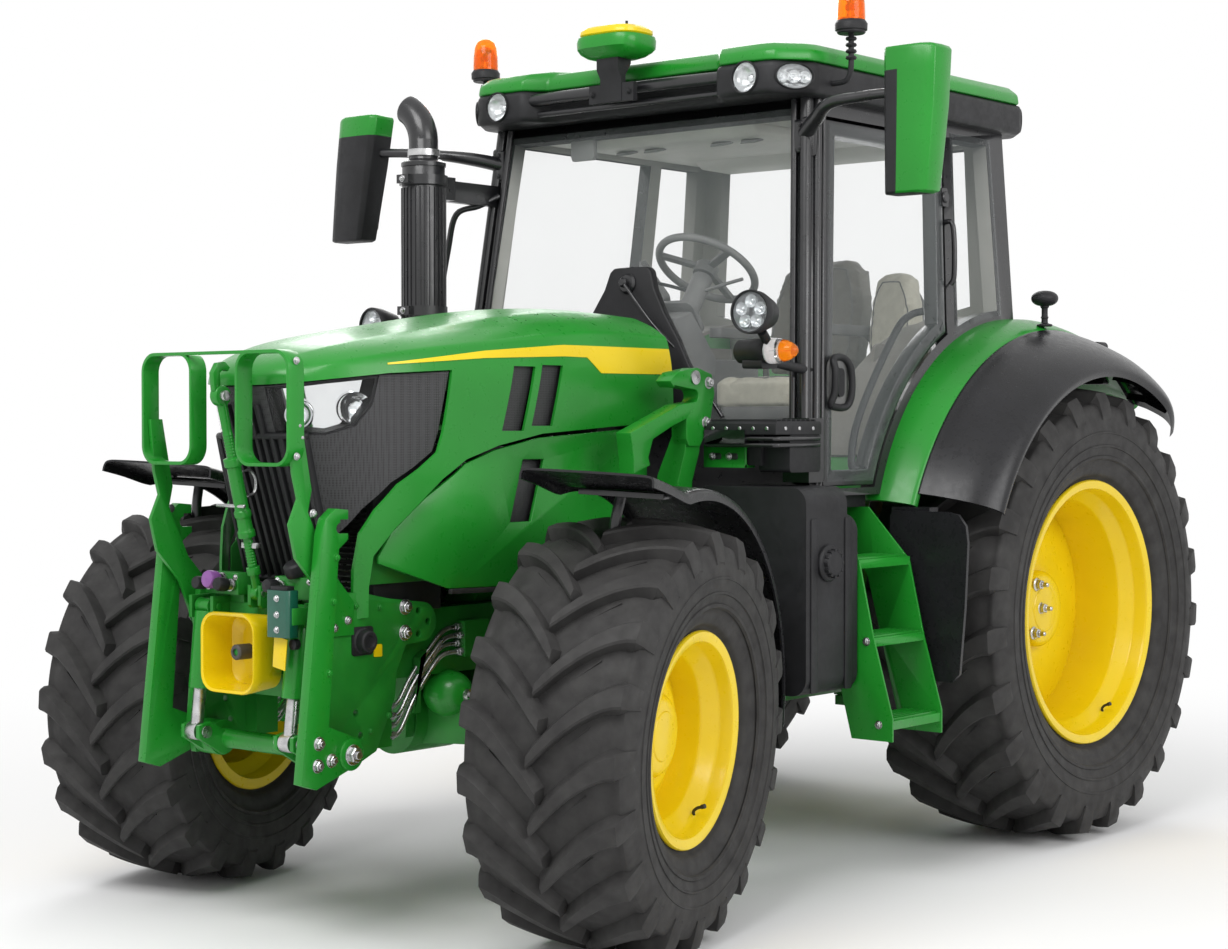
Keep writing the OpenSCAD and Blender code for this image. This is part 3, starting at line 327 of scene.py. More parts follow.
def dress(node, mat, bevel=0.004, segs=2, merge=True):
    """A copy of a CAD node with rounded edges, standing for it."""
    me = NODES[node].data.copy()
    bm = bmesh.new()
    bm.from_mesh(me)
    bmesh.ops.remove_doubles(bm, verts=bm.verts, dist=CAD_WELD)
    if merge:
        bmesh.ops.dissolve_limit(bm, angle_limit=math.radians(1.0), verts=bm.verts, edges=bm.edges)
    bm.to_mesh(me)
    bm.free()
    me.polygons.foreach_set("material_index", [0] * len(me.polygons))
    obj = place(node + "_dressed", me, mat, BODY_OF[node], 40.0)
    if bevel:
        bevelled(obj, bevel, segs, 28.0)
    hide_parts(node)
    return obj


def paint(node, mat):
    """The CAD node itself, with a better material."""
    NODES[node].data.materials.clear()
    NODES[node].data.materials.append(mat)
    shade(NODES[node].data, 30.0)


def spline(points, n=8, closed=False):
    """Catmull-Rom curve through points."""
    P = np.array(points, float)
    out = []
    count = len(P)
    last = count if closed else count - 1
    for i in range(last):
        if closed:
            p0, p1, p2, p3 = P[(i - 1) % count], P[i], P[(i + 1) % count], P[(i + 2) % count]
        else:
            p1, p2 = P[i], P[i + 1]
            p0 = P[i - 1] if i else 2 * p1 - p2
            p3 = P[i + 2] if i + 2 < count else 2 * p2 - p1
        for k in range(n):
            t = k / n
            out.append(0.5 * (2 * p1 + (p2 - p0) * t + (2 * p0 - 5 * p1 + 4 * p2 - p3) * t ** 2
                              + (3 * p1 - p0 - 3 * p2 + p3) * t ** 3))
    if not closed:
        out.append(P[-1])
    return np.array(out)


def grid_faces(rows, cols, wrap_rows=False, wrap_cols=False):
    """Faces of a grid of points, row by row."""
    faces = []
    for i in range(rows if wrap_rows else rows - 1):
        for j in range(cols if wrap_cols else cols - 1):
            a, b = i % rows, (i + 1) % rows
            c, d = j % cols, (j + 1) % cols
            faces.append((a * cols + c, a * cols + d, b * cols + d, b * cols + c))
    return faces


def stacked_faces(rows, n):
    """Faces of a stack of rings of n points, closed at both ends."""
    ends = [tuple(range(n - 1, -1, -1)), tuple(range((rows - 1) * n, rows * n))]
    return grid_faces(rows, n, False, True) + ends


def closed_faces(n):
    """Faces of a solid between two rings of n points."""
    faces = [tuple(range(n)), tuple(range(2 * n - 1, n - 1, -1))]
    return faces + [(i, (i + 1) % n, n + (i + 1) % n, n + i) for i in range(n)]


def double_wall(n, c):
    """Faces of a sheet with two walls: n rows of c points outside, then as many inside."""
    k = n * c
    e = (n - 1) * c
    faces = grid_faces(n, c) + [tuple(k + i for i in f[::-1]) for f in grid_faces(n, c)]
    faces += [(i, i + c, k + i + c, k + i) for i in range(0, e, c)]
    faces += [(i, i + c, k + i + c, k + i) for i in range(c - 1, e + c - 1, c)]
    faces += [(j, j + 1, k + j + 1, k + j) for j in range(c - 1)]
    faces += [(j, j + 1, k + j + 1, k + j) for j in range(e, e + c - 1)]
    return faces


def circle(r, n, z):
    """Points on a circle about the z axis."""
    return [(r * math.cos(2 * math.pi * k / n), r * math.sin(2 * math.pi * k / n), z) for k in range(n)]


def polar(r, degrees):
    """Two coordinates on a circle."""
    a = math.radians(degrees)
    return r * math.cos(a), r * math.sin(a)


def rear_arc(r, degrees):
    """Place (y, z) on a circle round the rear axle."""
    y, z = polar(r, degrees)
    return RY + y, RZ + z


def flip(side):
    """Matrix that mirrors in x for the right side."""
    return Matrix.Diagonal((side, 1, 1, 1))


def x_range(side, a, b):
    """Two places on one side, the lesser first."""
    return sorted((side * a, side * b))


def revolve(profile, n, closed=True):
    """Profile of (x, r) turned about the x axis."""
    verts = []
    for i in range(n):
        a = 2 * math.pi * i / n
        verts += [(x, r * math.cos(a), r * math.sin(a)) for x, r in profile]
    return verts, grid_faces(n, len(profile), True, closed)


def tube(points, r, n=12, smooth=6, cap=True):
    """A round bar along a path of points."""
    P = spline(points, smooth) if smooth else np.array(points, float)
    verts = []
    T = np.gradient(P, axis=0)
    T /= np.linalg.norm(T, axis=1)[:, None]
    up = np.array([0, 0, 1.0]) if abs(T[0][2]) < 0.9 else np.array([1.0, 0, 0])
    u = np.cross(T[0], up)
    u /= np.linalg.norm(u)
    radii = r if hasattr(r, "__len__") else [r] * len(P)
    for i, p in enumerate(P):
        u = u - T[i] * np.dot(u, T[i])
        u /= np.linalg.norm(u)
        w = np.cross(T[i], u)
        for k in range(n):
            a = 2 * math.pi * k / n
            verts.append(p + radii[i] * (math.cos(a) * u + math.sin(a) * w))
    return verts, stacked_faces(len(P), n) if cap else grid_faces(len(P), n, False, True)


def prism(outline, lo, hi, axis):
    """Outline of two coordinates drawn out along an axis from lo to hi."""
    spot = "xyz".index(axis)
    verts = [(*p[:spot], t, *p[spot:]) for t in (lo, hi) for p in outline]
    return verts, closed_faces(len(outline))


def block(x0, x1, y0, y1, z0, z1):
    """A box between two places on each axis."""
    return prism([(x0, y0), (x1, y0), (x1, y1), (x0, y1)], z0, z1, "z")


def disc(r, h, n=24, chamfer=0.0):
    """A round plate standing on the xy plane."""
    rings = [(r, 0), (r, h - chamfer), (r - chamfer, h)] if chamfer else [(r, 0), (r, h)]
    verts = [p for rad, z in rings for p in circle(rad, n, z)]
    return verts, stacked_faces(len(rings), n)


def turn_to(normal, at=(0, 0, 0), spin=0.0):
    """Matrix that takes local z to the normal, at a place."""
    q = Vector((0, 0, 1)).rotation_difference(Vector(normal).normalized())
    return Matrix.Translation(Vector(at)) @ q.to_matrix().to_4x4() @ Matrix.Rotation(spin, 4, "Z")


def upright(normal, at):
    """Matrix that takes local z to the normal and keeps local y upright."""
    n = Vector(normal).normalized()
    right = Vector((0, 0, 1)).cross(n).normalized()
    up = n.cross(right)
    return Matrix.Translation(Vector(at)) @ Matrix((right, up, n)).transposed().to_4x4()


def turned(profile, n=40, closed=False):
    """Profile of (z, r) turned about the local z axis."""
    verts, faces = revolve(profile, n, closed)
    return [(y, z, x) for x, y, z in verts], faces


def bolt(shape, at, normal, d, mat=0, washer=True):
    """A hexagon head on its washer."""
    M = turn_to(normal, at, 0.3)
    if washer:
        shape.put(*disc(d * 1.05, d * 0.14, 20, d * 0.04), mat, M)
    M = M @ Matrix.Translation((0, 0, d * 0.12))
    n = 6
    r = d * 0.82
    verts = circle(r, n, 0) + circle(r, n, d * 0.48) + circle(r * 0.86, n, d * 0.6)
    shape.put(verts, grid_faces(3, n, False, True) + [tuple(range(2 * n, 3 * n))], mat, M)
    M = M @ Matrix.Translation((0, 0, d * 0.55))
    shape.put(*disc(d * 0.42, d * 0.3, 14, d * 0.06), mat, M)


def cut(obj, cutters, operation="DIFFERENCE"):
    """Cuts solids out of a piece; cutters are (verts, faces)."""
    tools = []
    for verts, faces in cutters:
        me = bpy.data.meshes.new("tool")
        me.from_pydata([tuple(v) for v in verts], [], [tuple(f) for f in faces])
        normals_out(me)
        t = bpy.data.objects.new("tool", me)
        bpy.context.scene.collection.objects.link(t)
        b = obj.modifiers.new("cut", "BOOLEAN")
        b.operation = operation
        b.object = t
        b.solver = "EXACT"
        tools.append(t)
    modified(obj)
    for t in tools:
        me = t.data
        bpy.data.objects.remove(t)
        bpy.data.meshes.remove(me)
    return obj


def subdivided(obj, levels, smooth=35.0):
    """Rounds a mesh by subdivision."""
    sub = obj.modifiers.new("smooth", "SUBSURF")
    sub.levels = levels
    sub.render_levels = levels
    return modified(obj, smooth)


def round_plan(x0, x1, y0, y1, r, n=5):
    """Rectangle with round corners."""
    out = []
    for cx, cy, a0 in ((x1 - r, y1 - r, 0), (x0 + r, y1 - r, 90), (x0 + r, y0 + r, 180),
                       (x1 - r, y0 + r, 270)):
        for k in range(n + 1):
            a = math.radians(a0 + 90 * k / n)
            out.append((cx + r * math.cos(a), cy + r * math.sin(a)))
    return out


def shrunk(outline, d):
    """An outline moved inward by about d."""
    P = np.array(outline)
    area = 0.5 * np.sum(P[:, 0] * np.roll(P[:, 1], -1) - np.roll(P[:, 0], -1) * P[:, 1])
    s = 1 if area > 0 else -1
    out = []
    for i in range(len(P)):
        a, b, c = P[i - 1], P[i], P[(i + 1) % len(P)]
        n1 = s * np.array([-(b - a)[1], (b - a)[0]]) / np.linalg.norm(b - a)
        n2 = s * np.array([-(c - b)[1], (c - b)[0]]) / np.linalg.norm(c - b)
        m = (n1 + n2) / max(1e-6, 1 + np.dot(n1, n2))
        out.append(tuple(b + d * m))
    return out


def mirrored(side, p):
    """A point taken to one side."""
    return (side * p[0], p[1], p[2])


def thicken(obj, t, offset=-1.0, smooth=35.0):
    """Gives a sheet a wall."""
    s = obj.modifiers.new("wall", "SOLIDIFY")
    s.thickness = t
    s.offset = offset
    s.use_even_offset = True
    return modified(obj, smooth)


# Stage, light and camera
def pale(name, colour):
    """A pale floor that fades to plain white farther out."""
    m, nt, p = shader(name)
    p.inputs["Roughness"].default_value = 0.9
    p.inputs["Specular IOR Level"].default_value = 0.1
    nt.links.new(ramp_node(nt, noise_node(nt, 0.8), [(0.3, colour), (0.7, colour)]), p.inputs["Base Color"])
    co = nt.nodes.new("ShaderNodeTexCoord")
    dist = nt.nodes.new("ShaderNodeVectorMath")
    dist.operation = "LENGTH"
    nt.links.new(co.outputs["Object"], dist.inputs[0])
    far = nt.nodes.new("ShaderNodeMapRange")
    far.interpolation_type = "SMOOTHSTEP"
    far.inputs["From Min"].default_value = 2.6
    far.inputs["From Max"].default_value = 6.5
    nt.links.new(dist.outputs["Value"], far.inputs["Value"])
    glow = nt.nodes.new("ShaderNodeEmission")
    mix = nt.nodes.new("ShaderNodeMixShader")
    nt.links.new(far.outputs["Result"], mix.inputs["Fac"])
    nt.links.new(p.outputs["BSDF"], mix.inputs[1])
    nt.links.new(glow.outputs["Emission"], mix.inputs[2])
    nt.links.new(mix.outputs["Shader"], nt.nodes["Material Output"].inputs["Surface"])
    return m


def stage_and_light():
    """White floor, even surroundings and three soft lamps."""
    me = bpy.data.meshes.new("floor")
    s = 60.0
    me.from_pydata([(-s, -s, 0), (s, -s, 0), (s, s, 0), (-s, s, 0)], [], [(0, 1, 2, 3)])
    me.materials.append(pale("floor_white", (0.93, 0.93, 0.93)))
    floor = bpy.data.objects.new("floor", me)
    floor.location.z = cad_box[0][2] - 0.001
    bpy.context.scene.collection.objects.link(floor)
    w = bpy.data.worlds.new("studio")
    bpy.context.scene.world = w
    w.use_nodes = True
    nt = w.node_tree
    bg = nt.nodes["Background"]
    bg.inputs["Color"].default_value = (1, 1, 1, 1)
    path = nt.nodes.new("ShaderNodeLightPath")
    direct = nt.nodes.new("ShaderNodeMath")
    direct.operation = "MAXIMUM"
    seen = nt.nodes.new("ShaderNodeMath")
    seen.operation = "MAXIMUM"
    nt.links.new(path.outputs["Is Camera Ray"], direct.inputs[0])
    nt.links.new(path.outputs["Is Transmission Ray"], direct.inputs[1])
    nt.links.new(direct.outputs[0], seen.inputs[0])
    nt.links.new(path.outputs["Is Glossy Ray"], seen.inputs[1])
    mr = nt.nodes.new("ShaderNodeMapRange")
    mr.inputs["To Min"].default_value = 0.62
    mr.inputs["To Max"].default_value = 1.0
    nt.links.new(seen.outputs[0], mr.inputs["Value"])
    nt.links.new(mr.outputs["Result"], bg.inputs["Strength"])

    def area(name, at, target, size, power):
        lamp = bpy.data.lights.new(name, "AREA")
        lamp.shape = "RECTANGLE"
        lamp.size, lamp.size_y = size
        lamp.energy = power
        o = bpy.data.objects.new(name, lamp)
        o.location = at
        o.rotation_euler = (Vector(target) - Vector(at)).to_track_quat("-Z", "Y").to_euler()
        bpy.context.scene.collection.objects.link(o)

    area("key", (1.5, -7.0, 8.0), (0, 0, 1.2), (6, 4), 520)
    area("side", (8.5, -1.5, 5.0), (0, 0, 1.2), (6, 4), 330)
    area("rear", (-6.0, 6.0, 6.5), (0, 0, 1.5), (5, 4), 260)


def camera():
    """The photo's view."""
    c = bpy.data.cameras.new("camera")
    c.sensor_fit = "HORIZONTAL"
    c.sensor_width = SENSOR
    c.lens = PHOTO_FOCAL / PHOTO_WIDTH * SENSOR
    o = bpy.data.objects.new("camera", c)
    o.location = (5.263, -6.616, 1.596)
    o.rotation_euler = (math.radians(90 - 1.294), 0, math.radians(39.83))
    bpy.context.scene.collection.objects.link(o)
    bpy.context.scene.camera = o


# Wheels
def rear_place(side):
    """Place of a rear wheel's centre, mirrored for the right side."""
    return Matrix.Translation((side * REAR_TRACK / 2, RY, RZ)) @ flip(side)


def front_corner(side):
    """Place of a front knuckle, steered and leaned as in the frame."""
    reach = KINGPIN_X + HUB_OFFSET * math.cos(STEER)
    tilt = math.asin(HUB_OFFSET * math.sin(CASTER) * math.sin(STEER) / reach)
    return (Matrix.Translation((0, FY, FZ)) @ Matrix.Rotation(-tilt, 4, "Y")
            @ Matrix.Translation((side * KINGPIN_X, 0, 0))
            @ Matrix.Rotation(STEER, 4, Vector((0, math.sin(CASTER), math.cos(CASTER)))) @ flip(side))


def front_place(side):
    """Place of a front wheel's centre."""
    return front_corner(side) @ Matrix.Translation((HUB_OFFSET, 0, 0))


# Outer radius, width, rim radius, number of lugs and their height
FRONT_TYRE = (0.656, 0.540, 0.3305, 20, 0.040)
REAR_TYRE = (0.8725, 0.600, 0.508, 23, 0.046)
# Radius, tyre width, place of the disc, hub radius, inner and outer end of the hub
FRONT_RIM = (0.3305, 0.540, 0.060, 0.130, 0.100 - HUB_OFFSET, 0.110)
REAR_RIM = (0.508, 0.600, -0.030, 0.150, 0.640 - REAR_TRACK / 2, 0.040)
STUDS = ((-.070, .100), (-.040, .006), (-.092, -.088))
# Stations of a lug on the tread, and the tread's share of the tyre's width to each side
LUG_STEPS, TREAD_SHARE = 11, 0.46


def lug_arc(t, W):
    """How far a lug has swept back at a share t of its length."""
    return -0.40 * W * (1 - (1 - t) ** 1.55)


def lug_stations(R, W, rim_r, base):
    """Stations of a lug from the middle out over the shoulder: x, top r, base r, arc and half widths."""
    h = R - rim_r
    tread = TREAD_SHARE * W
    crown = 0.05 * W
    stations = []
    for i in range(LUG_STEPS):
        t = i / (LUG_STEPS - 1)
        x = -0.028 * W + (tread + 0.028 * W) * t
        wide = (0.021 + 0.013 * t) * (R / 0.66) ** 0.6
        if i == 0:
            wide *= 0.78
        stations.append((x, R - crown * (x / tread) ** 2, base - 0.03, lug_arc(t, W), wide, wide + 0.020))
    arc, wide = stations[-1][3:5]
    return stations + [
        (0.480 * W, R - crown - 0.030, base - 0.05, arc - 0.006, wide + 0.002, wide + 0.014),
        (0.498 * W, R - crown - 0.088, R - 0.19, arc - 0.012, wide - 0.002, wide + 0.008),
        (0.490 * W, rim_r + 0.63 * h, rim_r + 0.6 * h, arc - 0.016, wide * 0.7, wide * 0.8)]


def lug(stations, a0, row, R):
    """One lug at an angle, in the left or the right row."""
    verts = []
    for i, (x, rt, rb, arc, wt, wb) in enumerate(stations):
        inner = x - 0.02 if i < LUG_STEPS else x - 0.05
        for w, r, at in ((-wb, rb, inner), (-wt - 0.003, rt - 0.006, x), (-wt + 0.004, rt, x),
                         (wt - 0.004, rt, x), (wt + 0.003, rt - 0.006, x), (wb, rb, inner)):
            a = a0 + (arc + w) / R
            verts.append((row * at, r * math.cos(a), r * math.sin(a)))
    m = len(stations)
    return verts, grid_faces(m, 6) + [tuple(range(5, -1, -1)), tuple(range((m - 1) * 6, m * 6))]


def tread_rib(a0, row, R, W, base):
    """A low rib between two lugs."""
    verts = []
    for t in (0.30, 0.62):
        for w, r in ((-0.004, base - 0.02), (-0.002, base - 0.002), (0.002, base - 0.002),
                     (0.004, base - 0.02)):
            a = a0 + (lug_arc(t, W) + w) / R
            verts.append((row * TREAD_SHARE * W * t, r * math.cos(a), r * math.sin(a)))
    return verts, grid_faces(2, 4) + [(3, 2, 1, 0), (4, 5, 6, 7)]


def tyre(name, node, R, W, rim_r, lugs, lug_h, M):
    """A carcass with ribs on its sidewalls, two rows of lugs and ribs between them."""
    h = R - rim_r
    base = R - lug_h
    bead = 0.4 * W - 0.012
    half = [(bead - 0.004, rim_r - 0.020), (bead + 0.002, rim_r + 0.010), (0.415 * W, rim_r + 0.022),
            (0.432 * W, rim_r + 0.040), (0.440 * W, rim_r + 0.055), (0.452 * W, rim_r + 0.068),
            (0.478 * W, rim_r + 0.30 * h), (0.497 * W, rim_r + 0.46 * h), (0.496 * W, rim_r + 0.58 * h),
            (0.480 * W, rim_r + 0.70 * h), (0.455 * W, rim_r + 0.79 * h), (0.41 * W, base - 0.026),
            (0.33 * W, base - 0.011), (0.17 * W, base - 0.003), (0, base)]
    prof = spline(half + [(-x, r) for x, r in half[-2::-1]], 3)
    prof = np.vstack([prof, [(-bead + 0.03, rim_r - 0.024), (bead - 0.03, rim_r - 0.024)]])
    s = Shape()
    s.put(*revolve(prof, 144), 0, M)
    for out, up, wide in ((0.470, 0.24, 0.005), (0.4885, 0.36, 0.003), (0.4975, 0.50, 0.003)):
        x, r = out * W, rim_r + up * h
        for row in (1, -1):
            rib = [(row * (x - 0.004), r - 2 * wide), (row * (x + 0.003), r - wide),
                   (row * (x + 0.0035), r + wide), (row * (x - 0.004), r + 2 * wide)]
            s.put(*revolve(rib, 96), 0, M)
    stations = lug_stations(R, W, rim_r, base)
    for row in (1, -1):
        late = 0.5 if row < 0 else 0
        for k in range(lugs):
            s.put(*lug(stations, math.pi / 2 + 2 * math.pi * (k + late) / lugs, row, R), 0, M)
        for k in range(lugs * 2):
            s.put(*tread_rib(math.pi / 2 + 2 * math.pi * (k / 2 + 0.25 + late) / lugs, row, R, W, base), 0, M)
    obj = s.piece(name, RUBBER, BODY_OF[node], 32.0)
    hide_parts(node)


def rim(name, node, r, W, disc_x, hub_r, hub_in, hub_out, M, studs=()):
    """A rim with its dish, hub, valve and, at the rear, studs."""
    out, inn = 0.4 * W, 0.4 * W - 0.012
    seat = r - 0.025
    well = seat - 0.045
    ww = inn * 0.55
    t = 0.012
    shell = [(-out, r - 0.004), (-out + 0.004, r), (-inn - 0.002, r), (-inn, r - 0.004), (-inn, seat),
             (-ww - 0.04, seat - 0.006), (-ww, well), (ww, well), (ww + 0.04, seat - 0.006), (inn, seat),
             (inn, r - 0.004), (inn + 0.002, r), (out - 0.003, r), (out + 0.003, r - 0.004),
             (out + 0.004, r - 0.012), (out - 0.003, seat - t + 0.004), (out - 0.012, seat - t),
             (ww + 0.062, seat - t - 0.003), (ww + 0.050, seat - t - 0.008), (ww + 0.016, well - t + 0.004),
             (ww + 0.004, well - t), (0, well - t), (-ww - 0.006, well - t), (-ww - 0.046, seat - t - 0.006),
             (-out, seat - t)]
    s = Shape()
    s.put(*revolve(shell, 128), 0, M)
    face = spline([(disc_x - 0.040, well - t / 2), (disc_x - 0.034, well - 0.03),
                   (disc_x - 0.012, (well + hub_r) / 2), (disc_x, hub_r + 0.040), (disc_x, hub_r - 0.002)], 5)
    dish = [(x + t, q) for x, q in face] + [(x, q) for x, q in face[::-1]]
    s.put(*revolve(dish, 128), 0, M)
    hub = [(hub_in, 0.001), (hub_in, hub_r), (hub_out - 0.034, hub_r), (hub_out - 0.018, hub_r - 0.004),
           (hub_out - 0.006, hub_r - 0.014), (hub_out, hub_r - 0.028), (hub_out, hub_r * 0.60),
           (hub_out + 0.004, hub_r * 0.57), (hub_out + 0.006, hub_r * 0.50), (hub_out + 0.006, 0.001)]
    s.put(*revolve(hub, 96), 0, M)
    obj = s.piece(name, YELLOW, BODY_OF[node], 30.0)
    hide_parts(node)
    v = Shape()
    a = math.radians(-62)

    def p(x, rr):
        return M @ Vector((x, rr * math.cos(a), rr * math.sin(a)))

    v.put(*tube([p(ww + 0.05, seat - t - 0.004), p(ww + 0.052, seat - t - 0.02),
                 p(ww + 0.066, seat - t - 0.034), p(ww + 0.085, seat - t - 0.042)], 0.005, 10))
    v.put(*tube([p(ww + 0.082, seat - t - 0.041), p(ww + 0.094, seat - t - 0.046)], 0.0075, 10, 0))
    for y, z in studs:
        N = M @ Matrix.Translation((hub_out - 0.002, y, z))
        axis = N.to_3x3() @ Vector((1, 0, 0))
        v.put(*turned([(0, .001), (0, .026), (.006, .026), (.010, .020), (.014, .020), (.014, .001)], 28), 1,
              turn_to(axis, N.translation))
        bolt(v, N.translation + axis * 0.012, axis, .024, 1, False)
        v.put(*turned([(.02, .001), (.02, .009), (.052, .009), (.055, .006), (.055, .001)], 16), 1,
              turn_to(axis, N.translation))
    v.piece(name + "_fittings", [TRIM, STEEL], BODY_OF[node])


def wheels():
    """Four tyres and four rims."""
    for side, word in SIDES:
        tyre(f"tyre_{word}_front", f"tyre_front_{word}", *FRONT_TYRE, front_place(side))
        tyre(f"tyre_{word}_rear", f"tyre_rear_{word}", *REAR_TYRE, rear_place(side))
        rim(f"wheel_{word}_front", f"rim_front_{word}", *FRONT_RIM, front_place(side))
        rim(f"wheel_{word}_rear", f"rim_rear_{word}", *REAR_RIM, rear_place(side), STUDS)


# Hood
# Stations of the hood along y: height, half width and share of the section's drop
HOOD_Y = [-0.500, -0.66, -0.816, -1.00, -1.15, -1.35, -1.55, -1.70, -1.82, -1.92, -1.99, -2.04, -2.075,
          -2.092, -2.097]
HOOD_H = [1.986, 1.994, 1.998, 1.988, 1.972, 1.942, 1.910, 1.886, 1.862, 1.838, 1.816, 1.796, 1.774, 1.745,
          1.705]
HOOD_W = [.430, .430, .430, .430, .430, .428, .414, .396, .362, .309, .260, .212, .160, .095, .0]
HOOD_G = [1, 1, 1, 1, .97, .88, .76, .68, .62, .56, .52, .46, .38, .26, .1]
# Half of the section, from the middle: share of the half width, drop
SECTION = [(0, 0), (.30, .005), (.58, .020), (.78, .050), (.925, .092), (1.0, .190), (1.0, .42), (.99, .66),
           (.97, .92)]
# Outlines of (y, z) that are cut out of the skin
GRILLE_ZONE = [(-2.15, 1.706), (-2.09, 1.713), (-1.958, 1.731), (-1.80, 1.750), (-1.572, 1.763),
               (-1.614, 1.572), (-1.636, 1.508), (-1.704, 1.457), (-1.775, 1.412), (-1.846, 1.334),
               (-1.888, 1.264), (-1.905, 1.150), (-1.905, 0.90), (-2.15, 0.90)]
BELOW_SPLIT = [(-0.40, 1.611), (-0.526, 1.603), (-0.781, 1.589), (-1.18, 1.564), (-1.383, 1.527),
               (-1.519, 1.485), (-1.614, 1.426), (-1.673, 1.378), (-1.784, 1.279), (-1.850, 1.195),
               (-1.862, 1.10), (-1.862, 0.90), (-0.40, 0.90)]


def hood_sheet(name, body):
    """The whole skin of the hood, before its openings are cut."""
    K = len(SECTION)
    cols = list(range(-(K - 1), K))
    wide = SECTION[5][1]
    verts = []
    for y, H, W, g in zip(HOOD_Y, HOOD_H, HOOD_W, HOOD_G):
        for c in cols:
            f, d = SECTION[abs(c)]
            drop = d * g if abs(c) < 6 else wide * g + (d - wide)
            verts.append((math.copysign(f * W, c) if c else 0, y, H - drop))
    n = len(cols)
    me = bpy.data.meshes.new(name)
    me.from_pydata(verts, [], grid_faces(len(HOOD_Y), n))
    crease = me.attributes.new("crease_edge", "FLOAT", "EDGE")
    for e in me.edges:
        a, b = e.vertices
        if a % n == b % n and max(a // n, b // n) < 11:
            crease.data[e.index].value = {2: 0.6, 4: 0.8}.get(abs(a % n - (K - 1)), 0.0)
    normals_out(me)
    return subdivided(place(name, me, GREEN, body), 3)


def facing_out(obj):
    """Turns the skin's normals away from the hood's inside."""
    if sum(p.normal.z * p.area for p in obj.data.polygons if p.center.z > 1.85) < 0:
        obj.data.flip_normals()


def through(outline):
    """A cutter from one side of the hood to the other."""
    return prism(outline, -0.7, 0.7, "x")


def side_cutter(outline, x0=0.2, x1=0.6):
    """Cutters for an opening in both sides."""
    return [prism(outline, x0, x1, "x"), prism(outline, -x1, -x0, "x")]


VENTS = [[(-1.206, 1.780), (-1.306, 1.780), (-1.369, 1.573), (-1.269, 1.573)],
         [(-1.073, 1.786), (-1.173, 1.786), (-1.233, 1.589), (-1.133, 1.589)]]
LOW_VENT = [(-1.153, 1.481), (-1.253, 1.481), (-1.313, 1.290), (-1.213, 1.290)]


def hood():
    """Skin of the hood with its openings, stripe, screens and nose."""
    shell = hood_sheet("hood_skin", "hood")
    facing_out(shell)
    thicken(shell, 0.010)
    cut(shell, [through(GRILLE_ZONE), through(BELOW_SPLIT)])
    for v in VENTS:
        cut(shell, side_cutter(v))
    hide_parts("hood_shell")
    stripe(shell)
    inner = Shape()
    for side in (1, -1):
        for v in VENTS:
            inner.put(*prism(shrunk(v, -0.02), side * 0.385, side * 0.402, "x"))
    inner.piece("hood_vent_screens", MESH_BLACK, "hood")
    nose()


# Nose: grille, headlamps and stripe
# Half of the nose's plan of (x, y) at two heights, the range of its sheets and a lamp's outline of (y, z)
WRAP_TOP = [(0, -2.078), (.08, -2.077), (.15, -2.058), (.21, -2.008), (.275, -1.922), (.335, -1.805),
            (.385, -1.62), (.408, -1.50)]
WRAP_LOW = [(0, -1.885), (.10, -1.885), (.19, -1.872), (.26, -1.835), (.31, -1.785), (.355, -1.725),
            (.388, -1.62), (.408, -1.50)]
WRAP_Z = (1.095, 1.775)
WRAP_TOP_Z = 1.69
LAMP_ZONE = [(-2.15, 1.690), (-2.09, 1.700), (-1.958, 1.721), (-1.822, 1.738), (-1.839, 1.655),
             (-1.881, 1.592), (-1.95, 1.566), (-2.033, 1.568), (-2.078, 1.600), (-2.10, 1.640),
             (-2.15, 1.655)]


def wrap_plan(z, n=4):
    """Half of the nose's plan at a height, from the middle outward."""
    k = (z - WRAP_Z[0]) / (WRAP_TOP_Z - WRAP_Z[0])
    return spline([((1 - k) * np.array(a) + k * np.array(b)) for a, b in zip(WRAP_LOW, WRAP_TOP)], n)


def wrap_sheet(name, mat, inset=0.0, rows=16):
    """The leaning face of the nose, wrapped round to the sides."""
    verts, cols = [], 0
    for z in np.linspace(*WRAP_Z, rows):
        half = wrap_plan(z)
        tang = np.gradient(half, axis=0)
        tang /= np.linalg.norm(tang, axis=1)[:, None]
        half = half + inset * np.stack([-tang[:, 1], tang[:, 0]], axis=1)
        half[0, 0] = 0
        line = [(-x, y) for x, y in half[:0:-1]] + [tuple(p) for p in half]
        cols = len(line)
        verts += [(x, y, z) for x, y in line]
    obj = add(name, verts, grid_faces(rows, cols), mat, "hood")
    if sum(p.normal.y * p.area for p in obj.data.polygons) > 0:
        obj.data.flip_normals()
    return obj


def nose_y(x, z):
    """Place of the nose's face at a distance from the middle and a height."""
    half = wrap_plan(z, 12)
    return np.interp(abs(x), half[:, 0], half[:, 1])


def grille():
    """Perforated face of the nose, open at the headlamps."""
    face = wrap_sheet("grille_face", [MESH_BLACK])
    thicken(face, 0.012)
    cut(face, [through(shrunk(GRILLE_ZONE, 0.005))], "INTERSECT")
    cut(face, [through(shrunk(BELOW_SPLIT, -0.005))] + side_cutter(shrunk(LAMP_ZONE, -0.004), 0.105, 0.6))
    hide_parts("grille")


